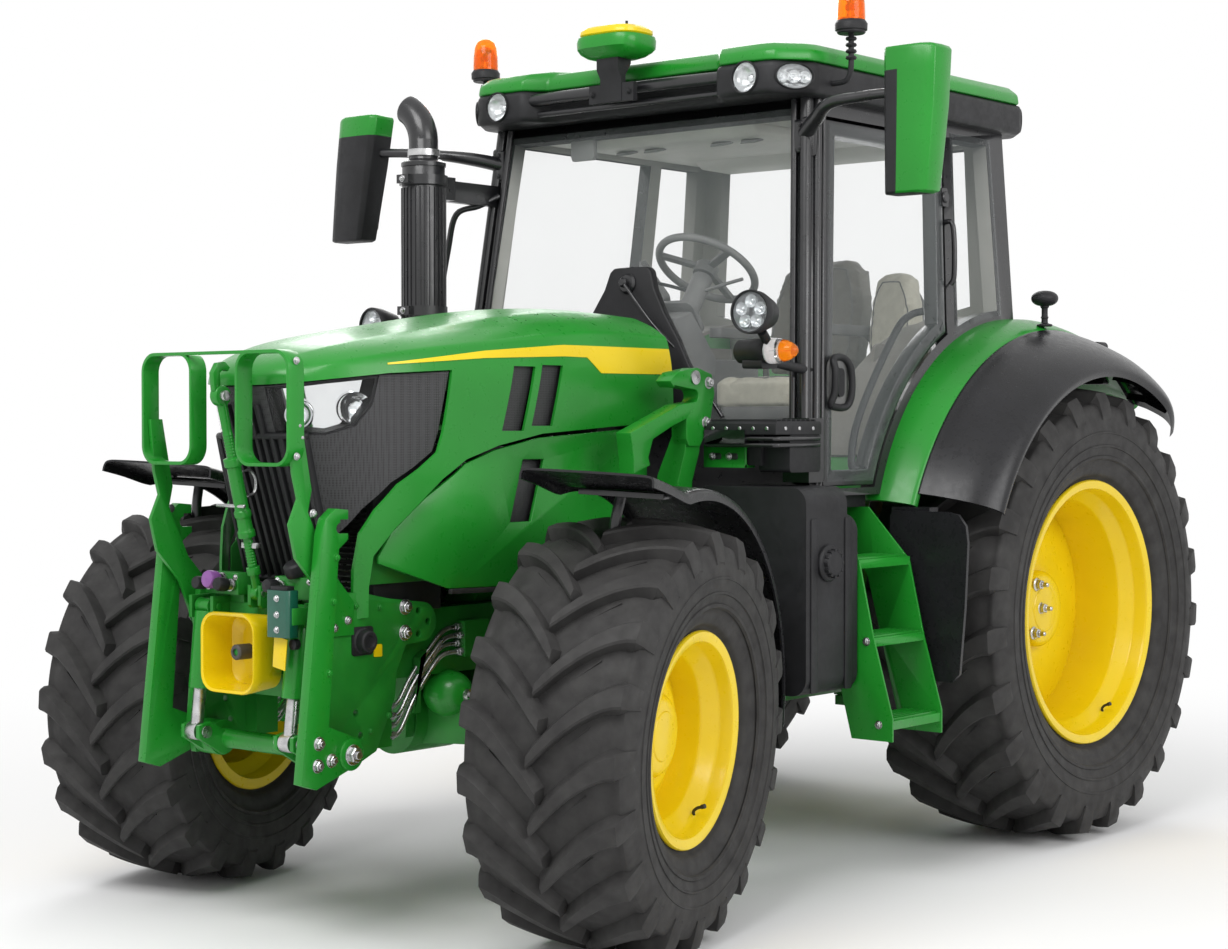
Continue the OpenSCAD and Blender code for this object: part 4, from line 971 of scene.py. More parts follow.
def grille_slats():
    """Upright slats on the leaning face, with a bar across at both ends."""
    s = Shape()
    w, deep, steps = 0.0065, 0.020, 10
    for k in range(-6, 7):
        x = k * 0.033
        top = 1.655 if abs(x) < 0.095 else 1.560
        verts = []
        for z in np.linspace(1.115, top, steps):
            y = nose_y(x, z) + 0.004
            verts += [(x - w, y, z), (x - w, y - deep, z), (x + w, y - deep, z), (x + w, y, z)]
        s.put(verts, stacked_faces(steps, 4))
    for z, wide in ((1.115, 0.215), (1.558, 0.205)):
        pts = [(x, nose_y(x, z) - 0.006, z) for x in np.linspace(-wide, wide, 15)]
        s.put(*tube(pts, 0.011, 8, 0))
    s.piece("grille_slats", BLACK, "hood", 30.0, 0.002, 2)


def lamp_cutter(grow, x0, side):
    """A cutter round one headlamp, its outline grown by a margin."""
    return prism(shrunk(LAMP_ZONE, -grow), x0 * side, 0.6 * side, "x")


def headlamp(side, word):
    """A bright bucket set back, a clear cover, a dark edge and two round lights."""
    bucket = wrap_sheet(f"headlamp_bucket_{word}", CHROME, 0.055)
    thicken(bucket, 0.004)
    cut(bucket, [lamp_cutter(0.012, 0.085, side)], "INTERSECT")
    cover = wrap_sheet(f"headlamp_cover_{word}", LENS, 0.002)
    thicken(cover, 0.004)
    cut(cover, [lamp_cutter(0, 0.105, side)], "INTERSECT")
    edge = wrap_sheet(f"headlamp_edge_{word}", BLACK, 0.004)
    thicken(edge, 0.050)
    cut(edge, [lamp_cutter(0.006, 0.100, side)], "INTERSECT")
    cut(edge, [lamp_cutter(-0.004, 0.112, side)])
    if side == 1:
        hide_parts("headlamps")
    lights = Shape()
    for x, z, rad in ((0.300, 1.640, 0.044), (0.185, 1.622, 0.038)):
        half = wrap_plan(z, 12)
        i = int(np.argmin(abs(half[:, 0] - x)))
        tang = half[i + 1] - half[i - 1]
        out = Vector((tang[1], -tang[0], 0)).normalized()
        at = Vector((half[i][0], half[i][1], z)) - out * 0.040
        M = turn_to((out.x * side, out.y, 0.06), mirrored(side, at))
        bowl = [(0.004, 0.0), (0.006, rad * 0.75), (0.016, rad), (0.026, rad * 1.12), (0.024, rad * 1.16),
                (0.0, rad * 1.16)]
        lights.put(*turned(bowl, 40), 0, M)
        dome = [(0.008 + rad * 0.45 * math.cos(a), rad * 0.72 * math.sin(a))
                for a in np.linspace(0.001, math.pi / 2, 8)]
        lights.put(*turned(dome, 32), 1, M)
    lights.piece(f"headlamp_lights_{word}", [CHROME, LENS_SOLID], "hood", 40.0)


def nose():
    """Everything on the hood's front."""
    grille()
    grille_slats()
    for side, word in SIDES:
        headlamp(side, word)


def lay_on(obj, target, inward):
    """Lays a flat sheet on a target along x."""
    m = obj.modifiers.new("lay", "SHRINKWRAP")
    m.target = target
    m.wrap_method = "PROJECT"
    m.use_project_x = True
    m.use_negative_direction = inward
    m.use_positive_direction = not inward
    m.offset = 0.0012
    return modified(obj)


# Heights of the stripe's edges over -y
STRIPE_TOP = ([0.5, 1.06, 1.425, 1.80], [1.854, 1.854, 1.826, 1.781])
STRIPE_LOW = ([0.5, 0.884, 0.95, 1.06, 1.425, 1.80], [1.766, 1.764, 1.815, 1.816, 1.803, 1.776])
STRIPE_ROWS = 7


def stripe(shell):
    """Yellow stripe along both sides, laid on the skin."""
    ys = np.concatenate([np.linspace(-0.504, -0.884, 16), np.linspace(-0.89, -0.95, 6),
                         np.linspace(-0.97, -1.80, 40)])
    for side, word in SIDES:
        verts = []
        for y in ys:
            top = np.interp(-y, *STRIPE_TOP)
            low = np.interp(-y, *STRIPE_LOW)
            verts += [(0.52 * side, y, top + (low - top) * k / (STRIPE_ROWS - 1)) for k in range(STRIPE_ROWS)]
        obj = add(f"hood_stripe_{word}", verts, grid_faces(len(ys), STRIPE_ROWS), YELLOW, "hood")
        lay_on(obj, shell, side == 1)
        if obj.data.polygons[20].normal.x * side < 0:
            obj.data.flip_normals()
        thicken(obj, 0.002, 0.0)


# Fenders
def swept(path, section, mat, body, name, M, wall):
    """A sheet: section of (across x, out n) carried along a path of (y, z)."""
    P = np.array(path)
    T = np.gradient(P, axis=0)
    T /= np.linalg.norm(T, axis=1)[:, None]
    N = np.stack([-T[:, 1], T[:, 0]], axis=1)
    verts = []
    for p, n in zip(P, N):
        for x, o in section:
            q = p + n * o
            verts.append(M @ Vector((x, q[0], q[1])))
    obj = add(name, verts, grid_faces(len(P), len(section)), mat, body, 45)
    return thicken(obj, wall, -1.0, 40)


def front_fenders():
    """Skins and stays of the front fenders, on their knuckles."""
    for side, word in SIDES:
        M = front_corner(side)
        r = 0.757
        arc = [polar(r, a) for a in np.linspace(98, -4, 44)]
        lead = spline([(-0.36, r * math.sin(math.radians(100)) + 0.060), (-0.25, r * 0.985 + 0.038), arc[0],
                       arc[2]], 6)[:13]
        path = [tuple(p) for p in lead[:-1]] + arc
        sec = spline([(-.068, -.034), (-.067, -.012), (-.055, -.002), (0, 0), (.15, .001), (.30, 0),
                      (.352, -.003), (.366, -.014), (.369, -.036)], 3)
        obj = swept(path, sec, BLACK_SHEEN, BODY_OF[f"front_fender_{word}"], f"fender_front_{word}_skin", M,
                    0.007)
        normals_out(obj.data)
        s = Shape()
        s.put(*tube([(0.10, -0.02, 0.12), (0.12, -0.10, 0.40), (0.14, -0.14, 0.62), (0.15, -0.12, 0.735)],
                    0.017, 12), 0, M)
        s.put(*block(0.02, 0.30, -0.15, -0.09, 0.725, 0.741), 0, M)
        for x in (0.06, 0.26):
            bolt(s, M @ Vector((x, -0.12, r - 0.008)), M.to_3x3() @ Vector((0, -0.16, 1)), 0.012)
        s.piece(f"fender_front_{word}_stay", BLACK_PAINT, BODY_OF[f"front_fender_{word}"], 40, 0.002)
        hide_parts(f"front_fender_{word}")


# Sections of (r, x) about the rear axle, and the mud flap's outline of (x, z)
FENDER_SECTION = [(1.1335, .558), (1.1345, .62), (1.1335, .80), (1.1285, .86), (1.112, .915), (1.092, .960),
                  (1.076, .966), (1.062, .963)]
FLARE_SECTION = [(1.060, .962), (1.086, .966), (1.080, .990), (1.060, 1.050), (1.020, 1.140), (.985, 1.192),
                 (.955, 1.220), (.930, 1.232), (.912, 1.228)]
WEB_SECTION = [(1.050, .972), (1.040, 1.040), (1.005, 1.130), (.975, 1.178), (.945, 1.165), (1.000, 1.060),
               (1.020, .972)]
FLAP = [(0.96, 0.692), (1.14, 0.690), (1.172, 0.72), (1.192, 0.95), (1.203, 1.18), (1.195, 1.24),
        (1.165, 1.278), (1.12, 1.287), (0.90, 1.287), (0.884, 1.27), (0.884, 1.10), (0.90, 0.90),
        (0.935, 0.72)]


def around_rear(side, section, angles):
    """Points of a section of (r, x) carried round the rear axle."""
    return [(side * x, *rear_arc(r, a)) for a in angles for r, x in section]


def rear_fenders():
    """Painted skin over the rear wheels, on the CAD fenders."""
    s = Shape()
    curve = spline(FENDER_SECTION, 4)
    inner = [(r - 0.010, x - (0.008 if x > .9 else 0)) for r, x in curve]
    angles = np.linspace(48, 156.5, 70)
    for side in (1, -1):
        rows = around_rear(side, curve, angles) + around_rear(side, inner, angles)
        s.put(rows, double_wall(len(angles), len(curve)))
    s.piece("fender_rear_skin", GREEN, "chassis", 40)
    dress("rear_fenders", GREEN, 0.003)


def flares():
    """Flares beside the rear fenders, webs under their rear end and mud flaps at the front."""
    s = Shape()
    curve = spline(FLARE_SECTION, 4)
    inner = [(r - 0.009, x - 0.006) for r, x in curve]
    angles = np.linspace(49, 154, 72)
    for side in (1, -1):
        rows = []
        for section in (curve, inner):
            for a in angles:
                # the sheet draws in a little toward its rear end
                pull = max(0.0, (62 - a) / 13) ** 2 * 0.05
                drawn = [(r - pull * 0.3, x - pull * (x - .96) / .27) for r, x in section]
                rows += around_rear(side, drawn, [a])
        s.put(rows, double_wall(len(angles), len(curve)))
        for a in (54, 62, 70):
            web = around_rear(side, WEB_SECTION, [a])
            s.put(web + [(x, y + 0.008, z) for x, y, z in web], closed_faces(len(web)))
        s.put(*prism([(side * x, z) for x, z in FLAP], 0.170, 0.184, "y"))
        s.put(*block(*x_range(side, 0.882, 1.04), 0.184, 0.240, 1.270, 1.300))
    obj = s.piece("flare_skin", BLACK_SHEEN, "chassis", 42)
    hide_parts("fender_flares")


# Roof, lamps and mirrors
def roof():
    """Underside with bores for lamps, cap with ribs, and the bars in front."""
    plan = [(-.79, -.12), (-.79, -.16), (-.70, -.288), (-.66, -.298), (-.46, -.298), (-.40, -.20),
            (.40, -.20), (.46, -.298), (.66, -.298), (.70, -.288), (.79, -.16), (.79, 1.26), (.70, 1.368),
            (-.70, 1.368), (-.79, 1.26)]
    under = Shape()
    under.put(*prism(plan, ROOF_Z, 2.853, "z"))
    base = under.piece("roof_underside", BLACK, "chassis", 40)
    bevelled(base, 0.022, 3, 30, 45)
    cut(base, roof_bores())
    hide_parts("roof_base")
    cap_plan = [(-.79, -.14), (-.775, -.19), (-.70, -.280), (-.66, -.292), (-.47, -.292), (-.405, -.215),
                (.405, -.215), (.47, -.292), (.66, -.292), (.70, -.280), (.775, -.19), (.79, -.14),
                (.79, 1.24), (.70, 1.345), (-.70, 1.345), (-.79, 1.24)]
    s = Shape()
    rings = []
    for z, k in ((2.8535, 1.0), (2.890, 0.995), (2.918, 0.96), (2.932, 0.87), (2.937, 0.55)):
        rings += [(x * k, (y - 0.56) * k + 0.56, z) for x, y in cap_plan]
    s.put(rings, stacked_faces(5, len(cap_plan)))
    cap = s.piece("roof_cap", GREEN, "chassis", 50)
    bevelled(cap, 0.008, 2, 25, 50)
    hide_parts("roof_shell")
    ribs = Shape()
    for x in (-.42, 0, .42):
        ribs.put(*prism(round_plan(x - .15, x + .15, .10, 1.10, .05), 2.930, 2.9425, "z"))
    ribs.piece("roof_ribs", GREEN, "chassis", 40, 0.005, 3)
    # round bars between the lamp pods
    d = Shape()
    d.put(*tube([(-.50, -.252, 2.815), (-.25, -.252, 2.818), (.25, -.252, 2.818), (.50, -.252, 2.815)], 0.024,
                16), 0)
    d.put(*tube([(-.47, -.235, 2.765), (.47, -.235, 2.765)], 0.012, 12, 0), 0)
    d.piece("roof_bar", BLACK_PAINT, "chassis")
    lamps_on_roof()


def round_lamp(s, at, normal, r, deep=0.05, stretch=1.0, cells=()):
    """Housing, bowl or bright cells, and clear cover; material places 0 black, 1 bright, 2 clear."""
    place_at = upright(normal, at)
    M = place_at @ Matrix.Diagonal((stretch, 1, 1, 1))
    s.put(*turned([(-deep, 0.001), (-deep, r * 0.8), (-deep * 0.3, r * 1.08), (0.004, r * 1.1),
                   (0.008, r * 1.06), (0.007, r), (-0.004, r * 0.99)]), 0, M)
    s.put(*turned([(-deep * 0.8, 0.001), (-deep * 0.75, r * 0.35), (-deep * 0.5, r * 0.72),
                   (-0.004, r * 0.99)]), 1, M)
    if not cells:
        s.put(*turned([(-deep * 0.55, 0.001), (-deep * 0.56, r * 0.16), (-deep * 0.62, r * 0.24),
                       (-deep * 0.75, r * 0.26)]), 1, M)
    for x, y, rc in cells:
        C = place_at @ Matrix.Translation((x, y, -0.020))
        s.put(*turned([(0, 0.001), (0.001, rc * 0.45), (0.008, rc * 0.85), (0.014, rc), (0.0145, rc * 1.05),
                       (0.0, rc * 1.05)], 24), 1, C)
        s.put(*turned([(0.010, 0.001), (0.008, rc * 0.28), (0.0, rc * 0.36)], 20), 1, C)
    s.put(*turned([(0.006, 0.001), (0.004, r * 0.6), (-0.002, r * 0.98), (-0.005, r * 0.98), (0.001, r * 0.6),
                   (0.003, 0.001)]), 2, M)


# Places and radii of a lamp's bright cells
THREE_CELLS = ((-.040, 0, .020), (0, 0, .022), (.040, 0, .020))
FIVE_CELLS = tuple((*polar(.036, 90 + 72 * k), .0205) for k in range(5))
# Lamps of the roof's left side: place, direction, radius, stretch and cells
ROOF_LAMPS = [((.585, -.298, 2.800), (0, -1, 0), .052, 1.0, ()),
              ((.744, -.225, 2.797), (.818, -.575, 0), .043, 1.55, THREE_CELLS),
              ((.744, 1.313, 2.800), (.768, .640, 0), .044, 1.0, ()),
              ((.560, 1.368, 2.800), (0, 1, 0), .044, 1.0, ())]


def roof_bores():
    """Cutters for the roof's lamps."""
    tools = []
    for side in (1, -1):
        for at, normal, r, stretch, _ in ROOF_LAMPS:
            M = upright(mirrored(side, normal), mirrored(side, at)) @ Matrix.Diagonal((stretch, 1, 1, 1))
            verts, faces = disc(r * 1.085, .10, 40)
            tools.append(([M @ Vector((x, y, z - .056)) for x, y, z in verts], faces))
    return tools


def lamps_on_roof():
    """Lamps in the roof's corners."""
    s = Shape()
    for side in (1, -1):
        for at, normal, r, stretch, cells in ROOF_LAMPS:
            round_lamp(s, mirrored(side, at), mirrored(side, normal), r, 0.050, stretch, cells)
    s.piece("roof_lamps", [BLACK, BRIGHT, LENS], "chassis", 40)


def mirror_head(s, c, side, dark):
    """One mirror's housing and glass."""
    plan = [(-.105, -.040), (-.085, -.060), (-.038, -.064), (.060, -.064), (.098, -.045), (.105, .0),
            (.100, .055), (-.100, .060)]
    levels = [(-.245, .70), (-.238, .82), (-.12, .88), (.05, .96), (.165, .985), (.228, 1.0), (.240, .96),
              (.245, .86)]
    lean = -.16 if dark else 0.0
    rings = []
    for z, k in levels:
        for x, y in plan:
            across = x * k + lean * z if dark else -.105 + (x + .105) * k
            rings.append((c.x + side * across, c.y + y * k, c.z + z))
    n, m = len(plan), len(levels)
    for f in grid_faces(m, n, False, True):
        level, col = f[0] // n, f[0] % n
        black = level < 4 and (dark or col in (0, 1, 6, 7))
        s.put([rings[i] for i in f], [(0, 1, 2, 3)], 1 if black else 0)
    s.put(rings[:n], [tuple(range(n))], 1)
    s.put(rings[-n:], [tuple(range(n))], 0)
    face = []
    for z, k in ((-.195, .85), (.205, .98)):
        for x in (-.090, .088):
            across = x * k + lean * z if dark else -.105 + (x + .105) * k
            face.append((c.x + side * across, c.z + z))
    a, b, d, e = face
    s.put(*prism([a, b, e, d], c.y + .052, c.y + .062, "y"), 2)


def mirrors():
    """Both mirrors with their arms."""
    s = Shape()
    mirror_head(s, Vector((1.235, -.215, 2.605)), 1, False)
    mirror_head(s, Vector((-1.235, -.400, 2.560)), -1, True)
    heads = s.piece("mirror_heads", [GREEN, BLACK, CHROME], "chassis", 40, 0.006, 3)
    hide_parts("mirrors")
    a = Shape()
    for side, path in ((1, [(.700, -.112, 2.600), (.80, -.175, 2.650), (.90, -.238, 2.688),
                            (1.03, -.230, 2.700), (1.150, -.216, 2.704)]),
                       (-1, [(-.700, -.112, 2.600), (-.79, -.20, 2.625), (-.88, -.278, 2.640),
                             (-1.02, -.345, 2.655), (-1.160, -.400, 2.660)])):
        radii = np.interp(np.linspace(0, 1, 25), [0, .3, .6, 1], [.030, .026, .019, .017])
        a.put(*tube(path, radii, 16, 6))
        a.put(*prism(round_plan(-.150, -.070, 2.540, 2.660, .012), *x_range(side, .690, .745), "x"))
        a.put(*turned([(2.53, .001), (2.53, .026), (2.536, .030), (2.660, .030), (2.666, .026),
                       (2.666, .001)], 24), 0, Matrix.Translation((side * .732, -.120, 0)))
        for z in (2.56, 2.64):
            bolt(a, (side * .715, -.150, z), (0, -1, 0), .011)
    a.piece("mirror_arms", BLACK_PAINT, "chassis", 40, 0.002)


def beacons():
    """Beacons on stems beside the roof."""
    s = Shape()
    base = [(2.950, .001), (2.950, .046), (2.954, .050), (2.962, .050), (2.962, .056), (2.984, .057),
            (2.990, .053), (2.996, .049), (2.996, .001)]
    dome = [(2.9965, .0485), (3.010, .0490), (3.050, .0475), (3.085, .0440), (3.105, .0360), (3.116, .0230),
            (3.1205, .0090), (3.1215, .001)]
    inner = [(z - .003, max(r - .003, .0005)) for z, r in dome[::-1]]
    for side in (1, -1):
        x, y = side * .868, -.060
        M = Matrix.Translation((x, y, 0))
        s.put(*turned(base, 40, True), 0, M)
        s.put(*turned(dome + inner, 40, True), 1, M)
        s.put(*turned([(2.996, .001), (2.996, .040), (3.004, .040), (3.006, .020), (3.030, .014),
                       (3.060, .016), (3.074, .026), (3.078, .024), (3.078, .001)], 32, True), 2, M)
        s.put(*turned([(3.030, .016), (3.034, .021), (3.050, .021), (3.054, .016)], 24, True), 1, M)
        stem = [(side * .725, y, 2.790), (side * .80, y, 2.785), (side * .850, y, 2.792),
                (side * .867, y, 2.83), (x, y, 2.90), (x, y, 2.952)]
        s.put(*tube(stem, 0.010, 12), 0)
        for z in (2.862, 2.884, 2.906, 2.928):
            s.put(*turned([(z, .008), (z, .017), (z + .005, .020), (z + .011, .017), (z + .011, .008)], 20,
                          True), 0, M)
        s.put(*block(*x_range(side, .700, .735), -.095, -.025, 2.765, 2.815), 0)
    obj = s.piece("beacon_lights", [BLACK, AMBER, BRIGHT], "chassis", 40)
    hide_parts("beacons")


def receiver():
    """Satellite receiver on the roof's front edge."""
    s = Shape()
    n = 96

    def stack(rows, mat, p=3.2):
        verts = []
        for rx, ry, z in rows:
            for k in range(n):
                c, q = math.cos(2 * math.pi * k / n), math.sin(2 * math.pi * k / n)
                m = (abs(c) ** p + abs(q) ** p) ** (-1 / p)
                verts.append((rx * m * c, -.292 + ry * m * q, z))
        s.put(verts, stacked_faces(len(rows), n), mat)

    stack([(.080, .055, 2.921), (.110, .072, 2.928), (.133, .090, 2.942), (.139, .107, 2.956),
           (.140, .110, 2.984), (.136, .106, 2.998), (.126, .098, 3.003)], 0)
    stack([(.124, .096, 3.002), (.129, .101, 3.008), (.128, .100, 3.020), (.116, .090, 3.032),
           (.080, .062, 3.039), (.010, .008, 3.041)], 1)
    s.put(*prism([(-.325, 2.765), (-.300, 2.765), (-.300, 2.860), (-.27, 2.905), (-.27, 2.924),
                  (-.345, 2.924), (-.345, 2.88), (-.325, 2.85)], -.050, .050, "x"), 2)
    s.put(*block(-.105, .105, -.323, -.301, 2.764, 2.830), 2)
    s.put(*tube([(.03, -.270, 3.03), (.03, -.270, 3.062)], 0.005, 10, 0), 2)
    for x in (-.085, .085):
        bolt(s, (x, -.323, 2.797), (0, -1, 0), 0.012, 2)
    obj = s.piece("receiver_body", [GREEN, YELLOW, BLACK], "chassis", 40)
    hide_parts("receiver")


def side_lamps():
    """Round work lamps and side lamps on stalks beside the cab."""
    s = Shape()
    for side in (1, -1):
        round_lamp(s, (side * .885, -.672, 1.962), (side * 0.12, -1, 0.02), 0.066, 0.10, 1.0, FIVE_CELLS)
        s.put(*tube([(side * .880, -.60, 1.90), (side * .862, -.55, 1.87), (side * .830, -.53, 1.85)], 0.016,
                    12), 0)
        can = [(.735, .001), (.735, .034), (.742, .040), (.800, .041), (.804, .043), (.856, .043),
               (.862, .040), (.862, .001)]
        egg = [(.862 + .113 * math.sin(a), .0435 * math.cos(a)) for a in np.linspace(0, math.pi / 2, 24)]
        near = [q for q in egg if q[0] < .917]
        far = [q for q in egg if q[0] >= .915]
        M = Matrix.Translation((0, -.530, 1.838)) @ flip(side)
        s.put(*revolve(can, 36), 0, M)
        s.put(*revolve([(.861, .001), (.861, .0425)] + near + [(near[-1][0], .001)], 36), 2, M)
        s.put(*revolve([(far[0][0], .001)] + far[:-1] + [(.975, .001)], 36), 3, M)
        s.put(*revolve([(.862, .001), (.862, .041), (.866, .041), (.868, .001)], 36), 1, M)
        s.put(*tube([(side * .80, -.500, 1.812), (side * .800, -.36, 1.795), (side * .792, -.20, 1.780)],
                    .016, 14), 0)
        s.put(*prism(round_plan(-.560, -.470, 1.780, 1.812, .010), *x_range(side, .770, .850), "x"), 0)
    obj = s.piece("side_lamp_set", [BLACK, BRIGHT, LENS_SOLID, AMBER], "chassis", 40)
    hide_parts("lamps")


# Inside of the cab
def wall_x(z):
    """Outer face of the cab's side wall at a height."""
    return 0.840 - 0.105 * (z - FLOOR_Z) / (ROOF_Z - FLOOR_Z)


def front_y(z):
    """Outer face of the cab's front wall at a height."""
    return -0.267 + 0.159 * (z - FLOOR_Z) / (ROOF_Z - FLOOR_Z)


def cab_shell():
    """Frame of the cab, black outside and lined with pale moulding inside."""
    obj = dress("cab_frame", [BLACK_PAINT, LINING], 0.005, merge=False)
    for p in obj.data.polygons:
        side_in = p.normal.x * math.copysign(1, p.center.x) < -0.7
        front_in = p.center.y < 0.1 and p.normal.y > 0.7
        rear_in = p.center.y > 1.0 and p.normal.y < -0.7
        if p.center.y > -0.3 and (side_in or front_in or rear_in):
            p.material_index = 1


def headliner():
    """Lining under the roof with vents and the inner mirror."""
    s = Shape()
    plan = [(-.62, -.04), (.62, -.04), (.665, .05), (.665, 1.02), (.60, 1.125), (-.60, 1.125), (-.665, 1.02),
            (-.665, .05)]
    s.put(*prism(plan, 2.694, 2.7365, "z"))
    s.put(*prism([(-.02, 2.70), (.34, 2.70), (.30, 2.652), (.03, 2.648)], -.40, .40, "x"))
    s.put(*prism([(.86, 2.70), (1.12, 2.70), (1.12, 2.66), (.92, 2.664)], -.55, .55, "x"))
    s.piece("cab_headliner", LINING, "chassis", 40, 0.016, 3)
    d = Shape()
    for x in (-.30, -.16, .16, .30):
        M = turn_to((0, .25, -1), (x, .13, 2.650))
        d.put(*disc(.040, .008, 28, .003), 0, M)
        for k in range(-2, 3):
            d.put(*block(-.034, .034, k * .013 - .002, k * .013 + .002, .006, .012), 0, M)
    d.put(*prism([(-.40, 2.60), (-.30, 2.60), (-.292, 2.615), (-.292, 2.70), (-.31, 2.712), (-.39, 2.712),
                  (-.408, 2.70), (-.408, 2.615)],
                 -.075, -.055, "y"))
    d.put(*tube([(-.35, -.055, 2.665), (-.35, -.02, 2.68), (-.35, 0.02, 2.70)], .010, 12), 0)
    d.piece("cab_vents_and_mirror", GREY, "chassis", 40, 0.004, 2)


def blown(name, form, mat, cap):
    """A sewn pad: a closed form, remeshed, blown up as cloth and smoothed."""
    s = Shape()
    s.put(*form)
    obj = s.piece(name, mat, "chassis", 60)
    remesh = obj.modifiers.new("even", "REMESH")
    remesh.mode = "VOXEL"
    remesh.voxel_size = 0.008
    modified(obj, 60)
    relax = obj.modifiers.new("relax", "SMOOTH")
    relax.factor = 0.5
    relax.iterations = 6
    modified(obj, 60)
    swell(obj, cap)
    subdivided(obj, 1, 80)
    return obj


def swell(obj, cap):
    """Cloth under pressure for a while; no point moves farther than the cap."""
    cloth = obj.modifiers.new("fill", "CLOTH")
    cloth.settings.quality = 4
    cloth.settings.use_pressure = True
    cloth.settings.uniform_pressure_force = 4.0
    cloth.settings.effector_weights.gravity = 0.0
    cloth.settings.tension_stiffness = 12
    cloth.settings.compression_stiffness = 12
    cloth.settings.bending_stiffness = 0.6
    cloth.point_cache.frame_end = CLOTH_FRAMES
    scene = bpy.context.scene
    for f in range(1, CLOTH_FRAMES + 1):
        scene.frame_set(f)
    start = [v.co.copy() for v in obj.data.vertices]
    dg = bpy.context.evaluated_depsgraph_get()
    done = obj.evaluated_get(dg).data
    moved = [v.co.copy() for v in done.vertices]
    obj.modifiers.clear()
    for v, a, b in zip(obj.data.vertices, start, moved):
        step = b - a
        v.co = a + step * min(1.0, cap / max(step.length, 1e-9))
    scene.frame_set(1)
    shade(obj.data, 60)


def leaned(outline, y0, thick, lean, z0):
    """A back rest: front outline of x and z, leaning to the rear with height."""
    verts, faces = prism(outline, y0, y0 + thick, "y")
    return [(x, y + lean * (z - z0), z) for x, y, z in verts], faces


def welt(s, pad, loop, way):
    """A sewn piping laid on a pad along a closed loop, seen along a way."""
    pts = []
    way = Vector(way)
    for p in spline(loop, 6, True):
        hit, at, normal, _ = pad.ray_cast(Vector(p) - way * 0.6, way)
        if hit:
            pts.append(at + normal * 0.001)
    if len(pts) > 6:
        s.put(*tube([tuple(p) for p in pts] + [tuple(pts[0])], 0.0028, 8, 0, False))


def seats():
    """Driver's and passenger's seats: pads, piping and frames."""
    driver = [(-.200, 1.785), (.200, 1.785), (.238, 1.84), (.244, 1.98), (.232, 2.12), (.195, 2.225),
              (.130, 2.280), (-.130, 2.280), (-.195, 2.225), (-.232, 2.12), (-.244, 1.98), (-.238, 1.84)]
    mate = [(.315, 1.735), (.515, 1.735), (.538, 1.80), (.543, 1.96), (.530, 2.09), (.495, 2.175),
            (.455, 2.198), (.375, 2.198), (.335, 2.175), (.300, 2.09), (.285, 1.96), (.292, 1.80)]
    pads = Shape()
    # The driver's seat back and the passenger's cushion take the seat cloth darkened as painted shade
    back = blown("seat_back", leaned(driver, .928, .085, .205, 1.77), SEAT_PAINTED_SHADE, 0.022)
    rest = blown("mate_back", leaned(mate, .893, .070, .05, 1.70), SEAT, 0.020)
    cushion = blown("seat_cushion", prism(round_plan(-.250, .250, .572, 1.005, .06), 1.668, 1.762, "z"), SEAT,
                    0.022)
    squab = blown("mate_cushion", prism(round_plan(.335, .535, .570, .900, .045), 1.640, 1.715, "z"),
                  SEAT_PAINTED_SHADE, 0.018)
    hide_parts("seats")
    welt(pads, back, [(x, 1.0, z) for x, z in shrunk(driver, 0.055)], (0, 1, 0))
    welt(pads, rest, [(x, 1.0, z) for x, z in shrunk(mate, 0.045)], (0, 1, 0))
    welt(pads, cushion, [(x, y, 1.7) for x, y in round_plan(-.19, .19, .625, .95, .05)], (0, 0, -1))
    welt(pads, squab, [(x, y, 1.7) for x, y in round_plan(.375, .495, .615, .86, .03)], (0, 0, -1))
    pads.piece("seat_piping", GREY, "chassis", 60)
    b = Shape()
    for k in range(7):
        z = FLOOR_Z + .06 + k * .030
        b.put(*prism(round_plan(-.150 - .012 * (k % 2), .150 + .012 * (k % 2), .630, .970, .04), z, z + .030,
                     "z"))
    b.put(*prism(round_plan(-.165, .165, .622, .978, .03), FLOOR_Z, FLOOR_Z + .062, "z"))
    b.put(*prism(round_plan(-.215, .215, .590, .990, .05), 1.613, 1.664, "z"))
    b.put(*prism(round_plan(.345, .525, .580, .945, .03), FLOOR_Z, 1.636, "z"))
    for side in (1, -1):
        b.put(*tube([(side * .262, 1.00, 1.70), (side * .268, 1.00, 1.90), (side * .268, .95, 1.955)], .014,
                    12))
        b.put(*prism(round_plan(side * .268 - .030, side * .268 + .030, .640, .985, .025), 1.945, 1.985, "z"))
    b.put(*leaned([(-.18, 1.80), (.18, 1.80), (.20, 2.05), (.16, 2.22), (-.16, 2.22), (-.20, 2.05)], 1.020,
                  .020, .205, 1.77))
    b.put(*leaned([(.34, 1.70), (.51, 1.70), (.51, 2.08), (.47, 2.14), (.38, 2.14), (.34, 2.08)], .964, .014,
                  .05, 1.70))
    b.piece("seat_frames", GREY, "chassis", 40, 0.006, 2)


